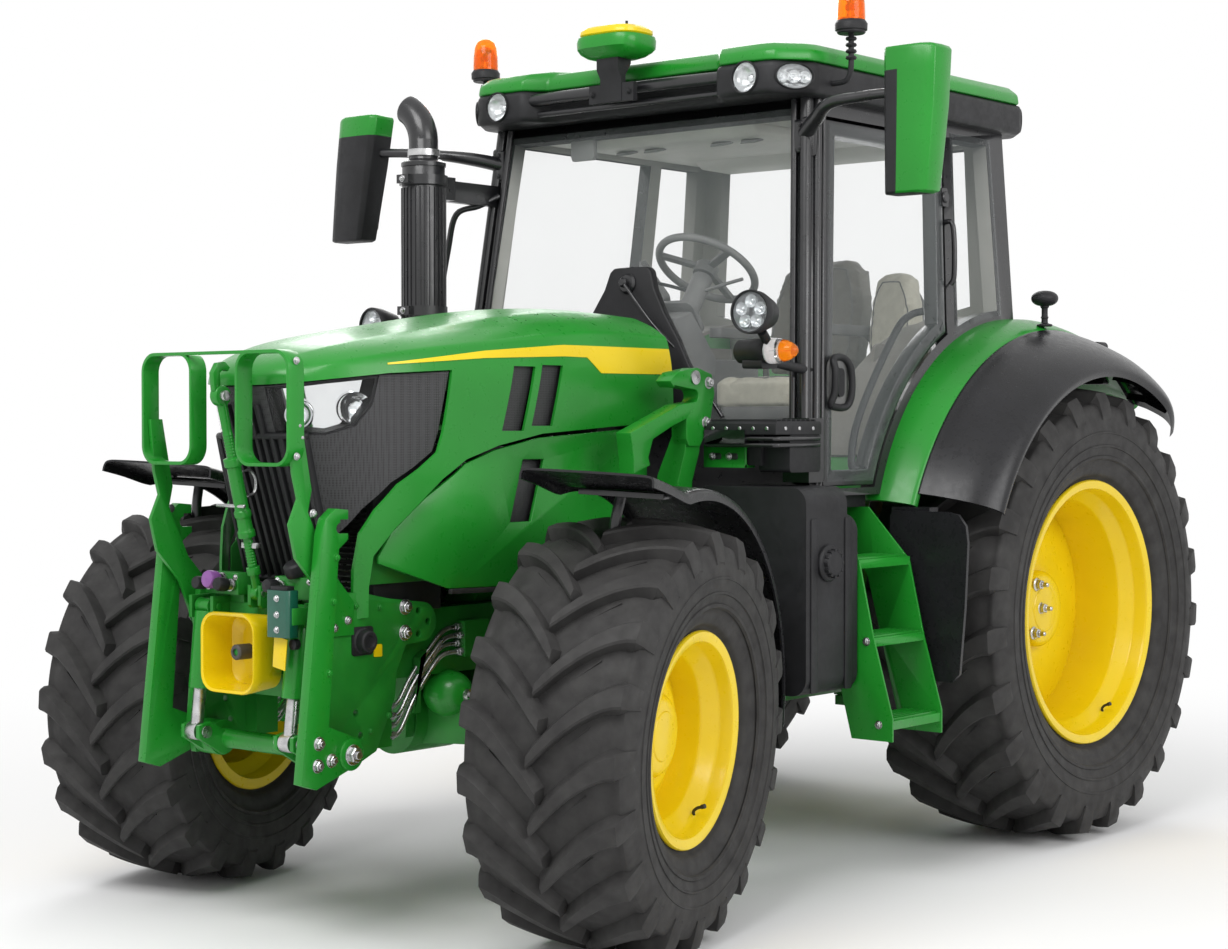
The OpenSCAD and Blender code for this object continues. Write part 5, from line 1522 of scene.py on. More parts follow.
def controls():
    """Arm rest with levers, screen, instruments and stalks."""
    dress("dash_console", [GREY], 0.012, 3)
    dress("steering_wheel", GREY, 0.004)
    s = Shape()
    s.put(*prism(round_plan(-.525, -.350, .500, .900, .03), 1.858, 1.905, "z"), 0)
    s.put(*prism(round_plan(-.520, -.355, .470, .600, .02), 1.895, 1.935, "z"), 1)
    for x, y, h, m in ((-.47, .53, .07, 2), (-.43, .56, .055, 1), (-.39, .53, .06, 1), (-.50, .60, .05, 3)):
        s.put(*tube([(x, y, 1.925), (x, y - .008, 1.935 + h)], .006, 10, 0), 1)
        knob = [(0, .001), (.003, .014), (.016, .018), (.030, .014), (.034, .001)]
        s.put(*turned(knob, 24, True), m, Matrix.Translation((x, y - .008, 1.93 + h)))
    screen = turn_to((.55, .70, .30), (-.40, .42, 2.10))
    s.put(*prism(round_plan(-.135, .135, -.095, .095, .012), 0, .028, "z"), 1, screen)
    s.put(*prism(round_plan(-.120, .120, -.080, .080, .004), .028, .0295, "z"), 4, screen)
    s.put(*tube([(-.40, .42, 2.10), (-.42, .46, 2.02), (-.44, .52, 1.92)], .013, 12), 1)
    cluster = turn_to((0, .85, .55), (0, -.005, 1.985))
    s.put(*prism(round_plan(-.150, .150, -.070, .070, .03), 0, .020, "z"), 1, cluster)
    for x in (-.085, 0, .085):
        s.put(*disc(.034, .004, 28, .001), 4, cluster @ Matrix.Translation((x, 0, .019)))
    for x, mat in ((-.06, 3), (.06, 1)):
        s.put(*tube([(x * .5, .19, 2.10), (x * 2.2, .20, 2.125), (x * 3.4, .205, 2.14)], .007, 10), mat)
    # The arm rest takes the seat cloth darkened as painted shade
    s.piece("cab_controls", [SEAT_PAINTED_SHADE, GREY, RED_PAINT, BLACK, SCREEN], "chassis", 40, 0.003, 2)


# Around the front of the cab
def cowl_and_wiper():
    """Dark cover at the foot of the windscreen, with the wiper that parks across it."""
    s = Shape()
    half = [(0, 2.172), (.080, 2.170), (.098, 2.155), (.120, 2.090), (.175, 2.000), (.250, 1.900),
            (.325, 1.780), (.40, 1.62)]
    front = [(-x, z) for x, z in half[:0:-1]] + half
    verts = [(x, front_y(z) - .040, z) for x, z in front]
    verts += [(x * .94, front_y(z) + .002, z) for x, z in front]
    s.put(verts, closed_faces(len(front)))
    s.piece("windscreen_cowl", BLACK, "chassis", 35, 0.008, 3)
    w = Shape()
    slope = (0, -1, .114)
    pivot = Vector((-.005, front_y(2.11) - .040, 2.110))
    w.put(*turned([(-.01, .001), (-.01, .038), (.006, .038), (.014, .030), (.016, .001)], 28), 0,
          turn_to(slope, pivot))
    w.put(*turned([(.010, .001), (.010, .018), (.034, .018), (.040, .012), (.041, .001)], 24), 0,
          turn_to(slope, pivot))

    def lift(x, z, d):
        return x, front_y(z) - d, z

    for d in (0, .026):
        w.put(*tube([lift(d, 2.11 - d, .072), lift(.12 + d, 1.985 - d, .068),
                     lift(.215 + d, 1.885 - d, .030)], .0065, 10))
    w.put(*tube([lift(.235, 1.875, .026), lift(.36, 1.730, .020), lift(.455, 1.620, .016)], .007, 10))
    w.put(*tube([lift(.08, 2.055, .014), lift(.235, 1.875, .016), lift(.36, 1.730, .014),
                 lift(.455, 1.620, .012)], .006, 8))
    w.put(*block(.205, .245, front_y(1.88) - .034, front_y(1.88) - .010, 1.860, 1.900))
    w.piece("windscreen_wiper", BLACK_PAINT, "chassis", 40)


def pillars():
    """Round bars of the front pillars, their outer channel and the screen's seal."""
    s = Shape()
    for side in (1, -1):
        for inset, off, r in ((.016, .010, .021), (.062, .014, .013)):
            ends = [(side * (wall_x(z) - inset), front_y(z) - off, z) for z in (1.60, 2.0, 2.4, 2.733)]
            s.put(*tube(ends, r, 16, 4))
        for y_off, r in ((.030, .016), (.066, .010)):
            ends = [(side * (wall_x(z) + .004), front_y(z) + y_off, z) for z in (1.40, 1.8, 2.3, 2.733)]
            s.put(*tube(ends, r, 14, 4))
        s.put(*block(*x_range(side, .755, .865), front_y(1.48) - .055, front_y(1.48) + .030, 1.395, 1.615))
    s.piece("pillar_bars", BLACK_PAINT, "chassis", 40)


def door_fittings():
    """Outer handle loop and the long grab bar inside the door."""
    s = Shape()
    x = wall_x(1.737) + .006
    loop = [(x + .012, -.120, 1.66), (x + .024, -.118, 1.70), (x + .026, -.115, 1.78),
            (x + .012, -.105, 1.822), (x + .008, -.040, 1.826), (x + .020, -.010, 1.79),
            (x + .022, -.008, 1.70), (x + .012, -.030, 1.655)]
    s.put(*tube([tuple(p) for p in spline(loop, 5, True)] + [loop[0]], .013, 12, 0, False), 0)
    s.put(*prism(round_plan(-.125, -.005, 1.645, 1.832, .045), x - .004, x + .006, "x"), 1)
    s.put(*prism(round_plan(-.085, -.045, 1.690, 1.790, .018), x + .004, x + .018, "x"), 0)
    bar = [(wall_x(2.02) - .012, .560, 2.015), (wall_x(2.0) - .050, .530, 2.000),
           (wall_x(1.95) - .055, .440, 1.945), (wall_x(1.73) - .055, .240, 1.735),
           (wall_x(1.57) - .055, .120, 1.573), (wall_x(1.45) - .045, .070, 1.450),
           (wall_x(1.43) - .010, .062, 1.425)]
    s.put(*tube(bar, .014, 14))
    s.piece("door_handles", [BLACK, GREY], "door", 40)
    g = Shape()
    g.put(*tube([(wall_x(2.5) + .004, .735, 2.36), (wall_x(2.4) + .035, .738, 2.34),
                 (wall_x(2.3) + .035, .735, 2.16), (wall_x(2.1) + .006, .730, 2.12)], .010, 12))
    for z in (1.62, 2.45):
        M = turn_to((1, 0, .07), (wall_x(z) - .002, .728, z))
        g.put(*disc(.022, .020, 20, .004), 0, M)
        g.put(*prism(round_plan(-.035, .035, -.022, .022, .008), 0, .012, "z"), 0, M)
    g.piece("door_hinges", BLACK_PAINT, "chassis", 40)


def washing_step():
    """Platform in front of the windscreen: a ribbed tread with a row of studs, rails, plate and end post."""
    s = Shape()
    for side in (1, -1):
        span = x_range(side, .612, .905)
        tread = [(-.556, 1.560), (-.556, 1.596), (-.548, 1.604), (-.300, 1.604), (-.290, 1.596),
                 (-.290, 1.560)]
        s.put(*prism(tread, *span, "x"), 0)
        for k in range(5):
            s.put(*disc(.007, .004, 16, .0015), 1,
                  turn_to((0, -1, 0), (side * (.645 + k * .056), -.555, 1.580)))
        for k in range(3):
            s.put(*disc(.007, .004, 16, .0015), 1,
                  turn_to((side, 0, 0), (side * .904, -.500 + k * .080, 1.580)))
        for k in range(9):
            y = -.535 + k * .028
            s.put(*block(span[0] + .012, span[1] - .012, y - .004, y + .004, 1.602, 1.611), 0)
        for z in (1.546, 1.524):
            s.put(*tube([(side * .612, -.548, z), (side * .892, -.548, z), (side * .902, -.538, z),
                         (side * .902, -.300, z)], .0075, 12, 0), 2)
        s.put(*prism(round_plan(-.465, -.285, 1.432, 1.562, .014), *x_range(side, .770, .898), "x"), 0)
        s.put(*block(*x_range(side, .560, .735), -.497, -.485, 1.447, 1.523), 3)
        s.put(*block(*x_range(side, .560, .735), -.497, -.440, 1.447, 1.457), 3)
        s.put(*block(*x_range(side, .700, .790), -.480, -.440, 1.455, 1.560), 0)
        for x in (.610, .680):
            s.put(*prism(round_plan(side * x - .026, side * x + .026, 1.474, 1.496, .008), -.499, -.496, "y"),
                  2)
            bolt(s, (side * (x - .012), -.498, 1.485), (0, -1, 0), .013, 1)
    s.piece("washing_step", [BLACK, STEEL, BLACK_PAINT, GREEN], "chassis", 40, 0.002)


def loader_catch():
    """Loader brackets with their arms drawn in below, as forged parts are."""
    obj = dress("loader_brackets", GREEN, 0)
    waist = [(-.650, 1.612), (-.721, 1.590), (-.829, 1.545), (-.853, 1.485), (-.829, 1.415), (-.700, 1.415),
             (-.650, 1.500)]
    cut(obj, side_cutter(waist, .50, .65))
    bevelled(obj, 0.009, 3)


def catch_bolts():
    """Bolts of the loader brackets and the red cap on their pins."""
    s = Shape()
    for side in (1, -1):
        for y, z in ((-.530, 1.735), (-.545, 1.600)):
            bolt(s, (side * .605, y, z), (side, 0, 0), .020, 0)
        s.put(*turned([(0, .001), (0, .024), (.008, .024), (.010, .001)], 24, True), 0,
              turn_to((side, 0, 0), (side * .604, -.606, 1.752)))
        for z in (1.05, 1.20, 1.35):
            bolt(s, (side * .552, -.600, z), (side, 0, .03), .020, 1)
    s.piece("loader_bolts", [STEEL, GREEN], "chassis", 40)


def arch_lining():
    """Moulded covers over the wheel arches inside the cab, and the trim along the door sill."""
    s = Shape()
    angles = np.linspace(92, 148, 30)
    for side in (1, -1):
        rows = []
        for r in (1.136, 1.150):
            for a in angles:
                y, z = rear_arc(r, a)
                rows += [(side * x, y, z) for x in (.500, .735, wall_x(z) - .063)]
        s.put(rows, double_wall(len(angles), 3))
        s.put(*prism(round_plan(.56, .98, 1.385, 1.90, .04), *x_range(side, .545, .560), "x"))
    # The covers take the seat cloth darkened as painted shade
    s.piece("arch_lining", SEAT_PAINTED_SHADE, "chassis", 40)


# Fittings at the front, the sides and the rear
def dark_front():
    """Sheets painted dark green as shade between the side panels and the nose, the vents' screens and the
    panels' lower edge.
    """
    sheet = [(-1.54, 1.105), (-1.86, 1.105), (-1.86, 1.20), (-1.78, 1.285), (-1.67, 1.385), (-1.61, 1.43),
             (-1.54, 1.46)]
    s = Shape()
    for side in (1, -1):
        s.put(*prism(sheet, *x_range(side, .302, .310), "x"), 0)
        s.put(*prism(shrunk(LOW_VENT, -0.02), *x_range(side, .372, .380), "x"), 1)
        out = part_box("side_panels")[1][0]
        edge = [(-1.585, 1.083), (-.622, 1.060), (-.622, 1.044), (-1.585, 1.067)]
        s.put(*prism(edge, *x_range(side, out - .014, out + .003), "x"), 2)
    s.piece("panel_backing", [GREEN_PAINTED_SHADE, MESH_BLACK, TRIM], "chassis", 35, 0.002)


def pto_cup():
    """Deep yellow cup over the front shaft, with a rolled lip."""
    rows = [(-1.992, .085, .040), (-2.020, .112, .050), (-2.100, .120, .055), (-2.134, .123, .057),
            (-2.140, .120, .054), (-2.136, .113, .050), (-2.030, .103, .045), (-2.006, .078, .035)]
    verts = []
    for y, a, r in rows:
        verts += [(x, y, SHAFT_Z + z) for x, z in round_plan(-a, a, -a, a, r)]
    s = Shape()
    s.put(verts, stacked_faces(len(rows), len(verts) // len(rows)), 0)
    stub = [(.0, .001), (.0, .024), (.052, .024), (.056, .020), (.056, .012), (.046, .010), (.046, .001)]
    s.put(*turned(stub, 28), 1, turn_to((0, -1, 0), (0, -2.050, SHAFT_Z)))
    obj = s.piece("shaft_cup", [YELLOW, IRON], "chassis", 40)
    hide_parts("pto_shield")


def coupler(s, at, cap, r=.021):
    """Hydraulic coupling that faces forward, with a coloured dust cap."""
    M = turn_to((0, -1, .12), at)
    s.put(*turned([(-.03, .001), (-.03, r * .8), (.004, r * .8), (.004, r * 1.15), (.012, r * 1.15),
                   (.012, r), (.030, r), (.030, .001)], 24), 1, M)
    s.put(*turned([(.028, .001), (.028, r * 1.2), (.036, r * 1.28), (.058, r * 1.28), (.066, r * 1.12),
                   (.068, .001)], 28), cap, M)


def hitch_fittings():
    """Couplings, tubes, blocks, tags and bolts on the front hitch's fixed part."""
    s = Shape()
    for x0, x1 in ((-.240, -.085), (.085, .250)):
        s.put(*block(x0, x1, -2.020, -1.955, 1.066, 1.132), 0)
        s.put(*block(x0 + .01, x1 - .01, -1.988, -1.957, 1.030, 1.068), 0)
        for x in (x0 + .012, x1 - .012):
            bolt(s, (x, -2.020, 1.120), (0, -1, 0), .009, 1)
    coupler(s, (-.157, -2.020, 1.108), 3, .022)
    coupler(s, (-.110, -2.020, 1.095), 2, .017)
    coupler(s, (-.212, -2.020, 1.095), 2, .016)
    coupler(s, (.118, -2.020, 1.100), 2, .017)
    dial = [(0, .001), (0, .014), (.018, .014), (.018, .033), (.030, .036), (.052, .033), (.058, .026),
            (.060, .001)]
    s.put(*turned(dial, 28), 2, turn_to((0, -.5, 1), (.172, -2.000, 1.125)))
    s.put(*prism(round_plan(.184, .282, -2.146, -2.098, .012), .962, 1.102, "z"), 4)
    s.put(*prism(round_plan(.196, .268, -2.142, -2.102, .010), 1.100, 1.114, "z"), 2)
    s.put(*block(.272, .287, -2.130, -2.000, 1.000, 1.050), 0)
    s.put(*block(.272, .292, -2.020, -1.985, .995, 1.055), 0)
    for z in (.985, 1.030, 1.078):
        bolt(s, (.234, -2.146, z), (0, -1, 0), .010, 1)
    s.put(*prism([(.192, .872), (.246, .862), (.256, .955), (.200, .966)], -2.126, -2.123, "y"), 5)
    s.put(*turned([(0, .001), (0, .016), (.020, .016), (.022, .001)], 20), 2,
          turn_to((0, -1, 0), (.262, -2.090, .940)))
    for side in (1, -1):
        x = side * .312
        out = (side, 0, 0)
        s.put(*turned([(0, .001), (0, .040), (.006, .040), (.010, .034), (.034, .033), (.038, .028),
                       (.038, .020), (.028, .018), (.028, .001)], 28), 2,
              turn_to(out, (x, -1.874, .937)))
        s.put(*prism(round_plan(-1.918, -1.830, .893, .981, .012), *sorted((x, x + side * .005)), "x"), 2)
        s.put(*prism(round_plan(-1.826, -1.792, .884, .922, .004), *sorted((x, x + side * .004)), "x"), 5)
        for y, z in ((-1.690, 1.029), (-1.692, .949)):
            bolt(s, (x, y, z), out, .024, 1)
        for y, z in ((-1.76, .70), (-1.84, .66), (-1.93, .63), (-1.90, 1.045), (-1.80, 1.035)):
            bolt(s, (x, y, z), out, .011, 0)
        for y, z in ((-2.135, 1.555), (-2.145, 1.590), (-2.085, 1.330), (-2.000, .985), (-1.945, 1.005)):
            bolt(s, (side * .326, y, z), out, .013, 1)
        for z in (1.50, 1.78):
            bolt(s, (side * .3385, -2.160, z), out, .011, 1)
    s.piece("hitch_fittings", [GREEN_CAST, STEEL, BLACK, LILAC, GREEN_TEAL, YELLOW], "chassis", 40, 0.002)


def hydraulic_tubes():
    """Bent steel tubes from the valve block to a manifold on the hitch plate, and the pressure vessel."""
    s = Shape()
    for side in (1, -1):
        s.put(*block(*x_range(side, .236, .288), -1.815, -1.725, .598, .735), 1)
        s.put(*block(*x_range(side, .249, .292), -1.400, -1.290, .850, .965), 1)
        for k in range(4):
            x = side * (.268 + .008 * (k % 2))
            z = .945 - .026 * k
            end = (x, -1.730, .716 - .030 * k)
            run = [(x, -1.395, z), (x, -1.470 - .006 * k, z - .006), (x, -1.540 - .004 * k, z - .060),
                   (x, -1.620, z - .140), (x, -1.680, end[2] + .012), end]
            s.put(*tube(run, .0075, 10, 6), 0)
            for at, way in ((run[0], (0, -1, 0)), (end, (0, 1, .2))):
                s.put(*turned([(-.002, .001), (-.002, .014), (.020, .014), (.020, .011), (.030, .011),
                               (.030, .001)], 6), 0, turn_to(way, at))
        # this plate takes the green darkened as painted shade
        s.put(*prism([(-1.600, .862), (-1.572, .882), (-1.628, .690), (-1.600, .690)],
                     *x_range(side, .258, .290), "x"), 3)
        ball = [(-.075 * math.cos(a), .075 * math.sin(a)) for a in np.linspace(0.001, math.pi - 0.001, 20)]
        s.put(*turned([(z * 1.15, r) for z, r in ball], 32), 2,
              turn_to((side, 0, 0), (side * .255, -1.440, .735)))
        s.put(*turned([(0, .001), (0, .020), (.018, .020), (.018, .012), (.034, .012), (.034, .001)], 16), 0,
              turn_to((side, 0, 0), (side * .338, -1.440, .735)))
    s.piece("hydraulic_tubes", [STEEL, GREEN_CAST, GREEN, GREEN_PAINTED_SHADE], "chassis", 40)


def top_link():
    """Adjustable upper link, parked on the guard: fork, threads, sleeve, locks and hook."""
    low, top = Vector((0, -2.015, 1.075)), Vector((0, -2.160, 1.680))
    way = top - low
    length = way.length
    M = turn_to(way, low)
    s = Shape()
    prof = [(.0, .001), (.0, .014), (.060, .014), (.060, .021), (.085, .021), (.085, .013)]
    for k in range(9):
        z = .092 + k * .009
        prof += [(z, .0155), (z + .0045, .013)]
    prof += [(.180, .013), (.180, .027), (.198, .027), (.204, .023), (.240, .022), (.246, .026), (.262, .026),
             (.266, .022), (.400, .022), (.404, .028), (.428, .028), (.432, .015)]
    for k in range(8):
        z = .438 + k * .009
        prof += [(z, .0165), (z + .0045, .0145)]
    prof += [(.520, .0145), (length - .02, .016), (length - .02, .001)]
    s.put(*turned(prof, 28, True), 0, M)
    for at, r, w in ((low, .022, .015), (top, .031, .015)):
        s.put(*turned([(-w, .001), (-w, r - .003), (-w + .003, r), (w - .003, r), (w, r - .003), (w, .001)],
                      32), 0, turn_to((1, 0, 0), at))
        s.put(*turned([(-w - .016, .001), (-w - .016, r * .5), (w + .016, r * .5), (w + .016, .001)], 20), 1,
              turn_to((1, 0, 0), at))
    hook = [(-.030, .02), (-.036, .075), (-.018, .105), (.010, .110), (.030, .092), (.022, .080),
            (.004, .086), (-.010, .074), (-.006, .03)]
    s.put(*prism(hook, -.010, .010, "x"), 0, Matrix.Translation(top + Vector((0, 0, -.006))))
    grip = [(.022, .30), (.060, .305), (.075, .34), (.060, .375), (.022, .38)]
    s.put(*tube([M @ Vector((0, y, z)) for y, z in grip], .005, 10), 1)
    s.put(*block(-.034, .034, -2.052, -2.030, 1.215, 1.232), 1)
    s.put(*tube([(-.10, -2.090, 1.345), (-.02, -2.096, 1.345), (.035, -2.096, 1.345)], .006, 10, 0), 1)
    obj = s.piece("upper_link", [GREEN, STEEL], "chassis", 40, 0.0015)
    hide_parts("front_top_link")


def arm_fittings():
    """Bolts and pins that swing with the front lift arms."""
    s = Shape()
    for side in (1, -1):
        out = (side, 0, 0)
        x = side * .376
        s.put(*turned([(0, .001), (0, .048), (.008, .048), (.012, .040), (.012, .001)], 32), 0,
              turn_to(out, (x, -1.985, .610)))
        bolt(s, (x + side * .012, -1.985, .610), out, .030, 1)
        for y, z in ((-2.115, .590), (-2.110, .655), (-2.060, .600)):
            bolt(s, (x, y, z), out, .020, 1)
        for y, z in ((-2.068, .860), (-2.050, 1.070), (-2.038, 1.200)):
            bolt(s, (x, y, z), out, .012, 0)
        for dx in (-.052, .048):
            s.put(*turned([(0, .001), (0, .019), (.006, .019), (.008, .001)], 24), 1,
                  turn_to((1, 0, 0), (side * .215 + dx, -2.080, .640)))
    s.piece("lift_arm_fittings", [GREEN, STEEL], "front_lift", 40)


def exhaust_fittings():
    """Ribs, clamps and the strap of the exhaust shield, and the grab rail behind it."""
    s = Shape()
    at = Matrix.Translation((EXHAUST_X, EXHAUST_Y, 0))
    for k in range(26):
        M = at @ Matrix.Rotation(2 * math.pi * k / 26, 4, "Z")
        s.put(*prism([(.077, -.005), (.085, -.003), (.085, .003), (.077, .005)], 1.560, 2.480, "z"), 0, M)
    for z, r in ((1.500, .090), (2.000, .089), (2.490, .091)):
        s.put(*turned([(z, .070), (z, r), (z + .036, r), (z + .036, .070)], 48, True), 0, at)
        s.put(*block(-.030, .030, -r - .022, -r + .006, z + .002, z + .034), 0, at)
        bolt(s, (EXHAUST_X, EXHAUST_Y - r - .022, z + .018), (0, -1, 0), .012, 1)
    s.put(*turned([(2.560, .050), (2.560, .084), (2.574, .084), (2.586, .066), (2.586, .050)], 48, True), 0,
          at)
    s.put(*turned([(2.600, .052), (2.600, .061), (2.624, .061), (2.624, .052)], 48, True), 1, at)
    s.put(*block(-.790, -.655, -.520, -.455, 2.438, 2.524), 0)
    for x in (-.765, -.68):
        bolt(s, (x, -.520, 2.500), (0, -1, .0), .012, 1)
    rail = [(-.700, -.165, 2.480), (-.742, -.235, 2.440), (-.800, -.300, 2.405), (-.845, -.300, 2.270),
            (-.880, -.300, 2.100), (-.880, -.300, 1.90), (-.850, -.285, 1.74), (-.800, -.220, 1.70)]
    s.put(*tube(rail, .012, 12), 0)
    s.piece("exhaust_fittings", [BLACK_PAINT, STEEL], "chassis", 40)


def step_treads():
    """Ribs on the treads of the steps, bolts on their side plates and the tank's filler cap."""
    s = Shape()
    for x0, z in ((.980, .590), (.910, .868), (.850, 1.131)):
        for k in range(6):
            x = x0 + .014 + k * .024
            s.put(*block(x - .004, x + .004, -.190, .110, z - .002, z + .007), 0)
        for k in range(9):
            y = -.180 + k * .035
            s.put(*disc(.010, .004, 16, .001), 2, Matrix.Translation((x0 + .060, y, z)))
    for y, face in ((-.200, -1), (.120, 1)):
        for x, z in ((1.08, .575), (1.03, .855), (.955, 1.118), (.81, 1.26)):
            bolt(s, (x, y, z), (0, face, 0), .014, 1)
    for side in (1, -1):
        cap = [(0, .001), (0, .062), (.014, .062), (.020, .056), (.022, .046), (.034, .044), (.038, .038),
               (.038, .001)]
        s.put(*turned(cap, 40), 2, turn_to((side, 0, 0), (side * .996, -.390, 1.130)))
        for k in range(12):
            M = turn_to((side, 0, 0), (side * 1.018, -.390, 1.130)) @ Matrix.Rotation(math.pi * k / 6, 4, "Z")
            s.put(*block(.040, .049, -.005, .005, 0, .016), 2, M)
        for y in (-.470, -.270):
            s.put(*prism(round_plan(y - .020, y + .020, .70, 1.28, .008), *x_range(side, .998, 1.004), "x"),
                  2)
    s.piece("step_and_tank_fittings", [GREEN, STEEL, BLACK], "chassis", 40, 0.0015)


def fender_fittings():
    """Aerial on the left fender, and the lamps at the rear."""
    s = Shape()
    stem = [(0, .001), (0, .030), (.008, .030), (.012, .013), (.030, .012), (.034, .016), (.040, .012),
            (.070, .012), (.074, .017), (.082, .017), (.086, .001)]
    s.put(*turned(stem, 24), 0, Matrix.Translation((AERIAL_X, AERIAL_Y, 1.972)))
    ball = [(-.030 * math.cos(a), .052 * math.sin(a) ** .8) for a in np.linspace(0.01, math.pi - 0.01, 18)]
    s.put(*turned(ball, 36), 0, Matrix.Translation((AERIAL_X, AERIAL_Y, 2.080)))
    s.put(*turned([(2.1105, .001), (2.1100, .012), (2.106, .018)], 20), 4,
          Matrix.Translation((AERIAL_X, AERIAL_Y, .0)))
    for side in (1, -1):
        y, z = rear_arc(1.128, 57)
        s.put(*prism(round_plan(.655, .865, z - .005, z + .115, .020), y - .030, y + .036, "y"), 0,
              flip(side))
        for x0, x1, mat in ((.668, .735, 2), (.740, .800, 3), (.805, .852, 1)):
            s.put(*prism(round_plan(x0, x1, z + .012, z + .100, .012), y + .034, y + .050, "y"), mat,
                  flip(side))
        s.put(*prism(round_plan(.640, .880, z - .060, z + .010, .010), y - .030, y + .020, "y"), 0,
              flip(side))
    s.piece("fender_fittings", [BLACK, LENS, RED_LENS, AMBER, STEEL], "chassis", 40, 0.003)


def rear_fittings():
    """Valve block with couplings, hitch pin, ball ends and bolts at the rear."""
    s = Shape()
    s.put(*prism(round_plan(-.205, .205, 1.080, 1.190, .015), 1.498, 1.545, "y"), 0)
    for i, x in enumerate((-.165, -.11, -.055, .055, .11, .165)):
        for z in (1.108, 1.160):
            M = turn_to((0, 1, .1), (x, 1.545, z))
            s.put(*turned([(-.01, .001), (-.01, .018), (.022, .018), (.022, .022), (.030, .022),
                           (.030, .001)], 20), 1, M)
            s.put(*turned([(.028, .001), (.028, .020), (.044, .021), (.050, .016), (.050, .001)], 20),
                  3 + i % 3, M)
    s.put(*turned([(0, .001), (0, .070), (.012, .070), (.014, .062), (.014, .001)], 40), 0,
          turn_to((0, 1, 0), (0, 1.500, .720)))
    hood_plan = [(-.13, .80), (-.13, .66), (-.118, .66), (-.118, .79), (.118, .79), (.118, .66), (.13, .66),
                 (.13, .80), (.10, .835), (-.10, .835)]
    s.put(*prism(hood_plan, 1.500, 1.640, "y"), 2)
    s.put(*turned([(.395, .001), (.395, .020), (.470, .020), (.470, .034), (.482, .034), (.486, .001)], 24),
          1, Matrix.Translation((0, 1.720, .0)))
    s.put(*tube([(-.028, 1.72, .486), (-.03, 1.72, .52), (0, 1.72, .54), (.03, 1.72, .52),
                 (.028, 1.72, .486)], .006, 10), 1)
    for side in (1, -1):
        for x, z in ((.20, .60), (.20, .68), (.20, .92), (.20, 1.02), (.12, .58)):
            bolt(s, (side * x, 1.500, z), (0, 1, 0), .018, 1)
        for z in (.990, 1.020):
            s.put(*turned([(-.010, .001), (-.010, .012), (.030, .012), (.030, .001)], 16), 1,
                  turn_to((side, 0, 0), (side * .040, 1.548, z - .01)))
    s.piece("rear_fittings", [GREEN_CAST, STEEL, BLACK, RED_PAINT, YELLOW, LILAC], "chassis", 40, 0.002)


# Engine and radiators under the hood
ENGINE_FRONT = -1.285
ENGINE_REAR = -0.375
SUMP_FRONT = -1.125
CORE_FRONT = -1.797
CORE_REAR = -1.503
CYLINDERS = (-1.13, -0.93, -0.73, -0.53)
FILTER_X = 0.06
FILTER_Z = 1.615


def engine_castings():
    """Crankcase, head and manifolds in the space of the plain CAD engine."""
    s = Shape()
    sump = [(-.145, .745), (.145, .745), (.186, .80), (.186, 1.02), (-.186, 1.02), (-.186, .80)]
    case = [(-.186, 1.012), (.186, 1.012), (.218, 1.05), (.218, 1.215), (.198, 1.235), (-.198, 1.235),
            (-.218, 1.215), (-.218, 1.05)]
    s.put(*prism(sump, SUMP_FRONT, ENGINE_REAR, "y"), 0)
    s.put(*prism(case, ENGINE_FRONT + .035, ENGINE_REAR, "y"), 0)
    s.put(*block(-.150, .150, ENGINE_FRONT + .065, ENGINE_REAR - .05, 1.230, 1.338), 0)
    for y in CYLINDERS:
        for side in (1, -1):
            s.put(*block(side * .226 - .012, side * .226 + .012, y - .105, y - .090, 1.05, 1.215), 0)
        s.put(*tube([(.14, y, 1.290), (.18, y, 1.300), (.212, y, 1.335)], .026, 16), 0)
        s.put(*tube([(-.14, y, 1.285), (-.18, y, 1.285), (-.208, y, 1.300)], .026, 16), 1)
        bolt(s, (.222, y, 1.13), (1, 0, 0), .022, 2)
        bolt(s, (-.222, y, 1.13), (-1, 0, 0), .022, 2)
    s.put(*tube([(.214, ENGINE_FRONT + .08, 1.345), (.214, -.80, 1.348), (.214, ENGINE_REAR - .09, 1.345)],
                .040, 20), 0)
    s.put(*tube([(-.212, ENGINE_FRONT + .10, 1.305), (-.212, -.80, 1.308), (-.212, ENGINE_REAR - .10, 1.305)],
                .036, 20), 1)
    snail = upright((0, 1, 0), (-.150, -.86, 1.420))
    s.put(*turned([(-.075, .001), (-.075, .040), (-.050, .062), (-.020, .075), (.000, .060), (.012, .046),
                   (.050, .046), (.062, .070), (.090, .074), (.112, .050), (.112, .001)], 36), 1, snail)
    s.put(*tube([(-.212, -.86, 1.31), (-.205, -.86, 1.35), (-.175, -.86, 1.39)], .030, 16), 1)
    obj = s.piece("engine_castings", [GREEN_CAST, IRON, STEEL], "chassis", 40, 0.005, 2)
    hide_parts("engine_block")


def engine_covers():
    """Rocker cover with ribs, bolts, filler cap and injector lines."""
    s = Shape()
    hump = [(-.122, 1.334), (.122, 1.334), (.122, 1.392), (.092, 1.440), (-.092, 1.440), (-.122, 1.392)]
    s.put(*prism(hump, ENGINE_FRONT + .085, ENGINE_REAR - .07, "y"), 0)
    for y in CYLINDERS:
        rib = [(-.128, 1.345), (.128, 1.345), (.128, 1.396), (.096, 1.447), (-.096, 1.447), (-.128, 1.396)]
        s.put(*prism(rib, y - .012, y + .012, "y"), 0)
        bolt(s, (.136, y + .06, 1.338), (0, 0, 1), .018, 1)
        bolt(s, (-.136, y + .06, 1.338), (0, 0, 1), .018, 1)
        s.put(*tube([(.140, y + .03, 1.345), (.165, y + .02, 1.395), (.185, y - .02, 1.400),
                     (.190, y - .05, 1.385)], .004, 8), 1)
    s.put(*turned([(0, .001), (0, .034), (.020, .034), (.026, .028), (.026, .001)], 28), 2,
          upright((0, 0, 1), (.02, -1.03, 1.438)))
    s.piece("engine_covers", [BLACK, STEEL, YELLOW], "chassis", 40, 0.006, 3)


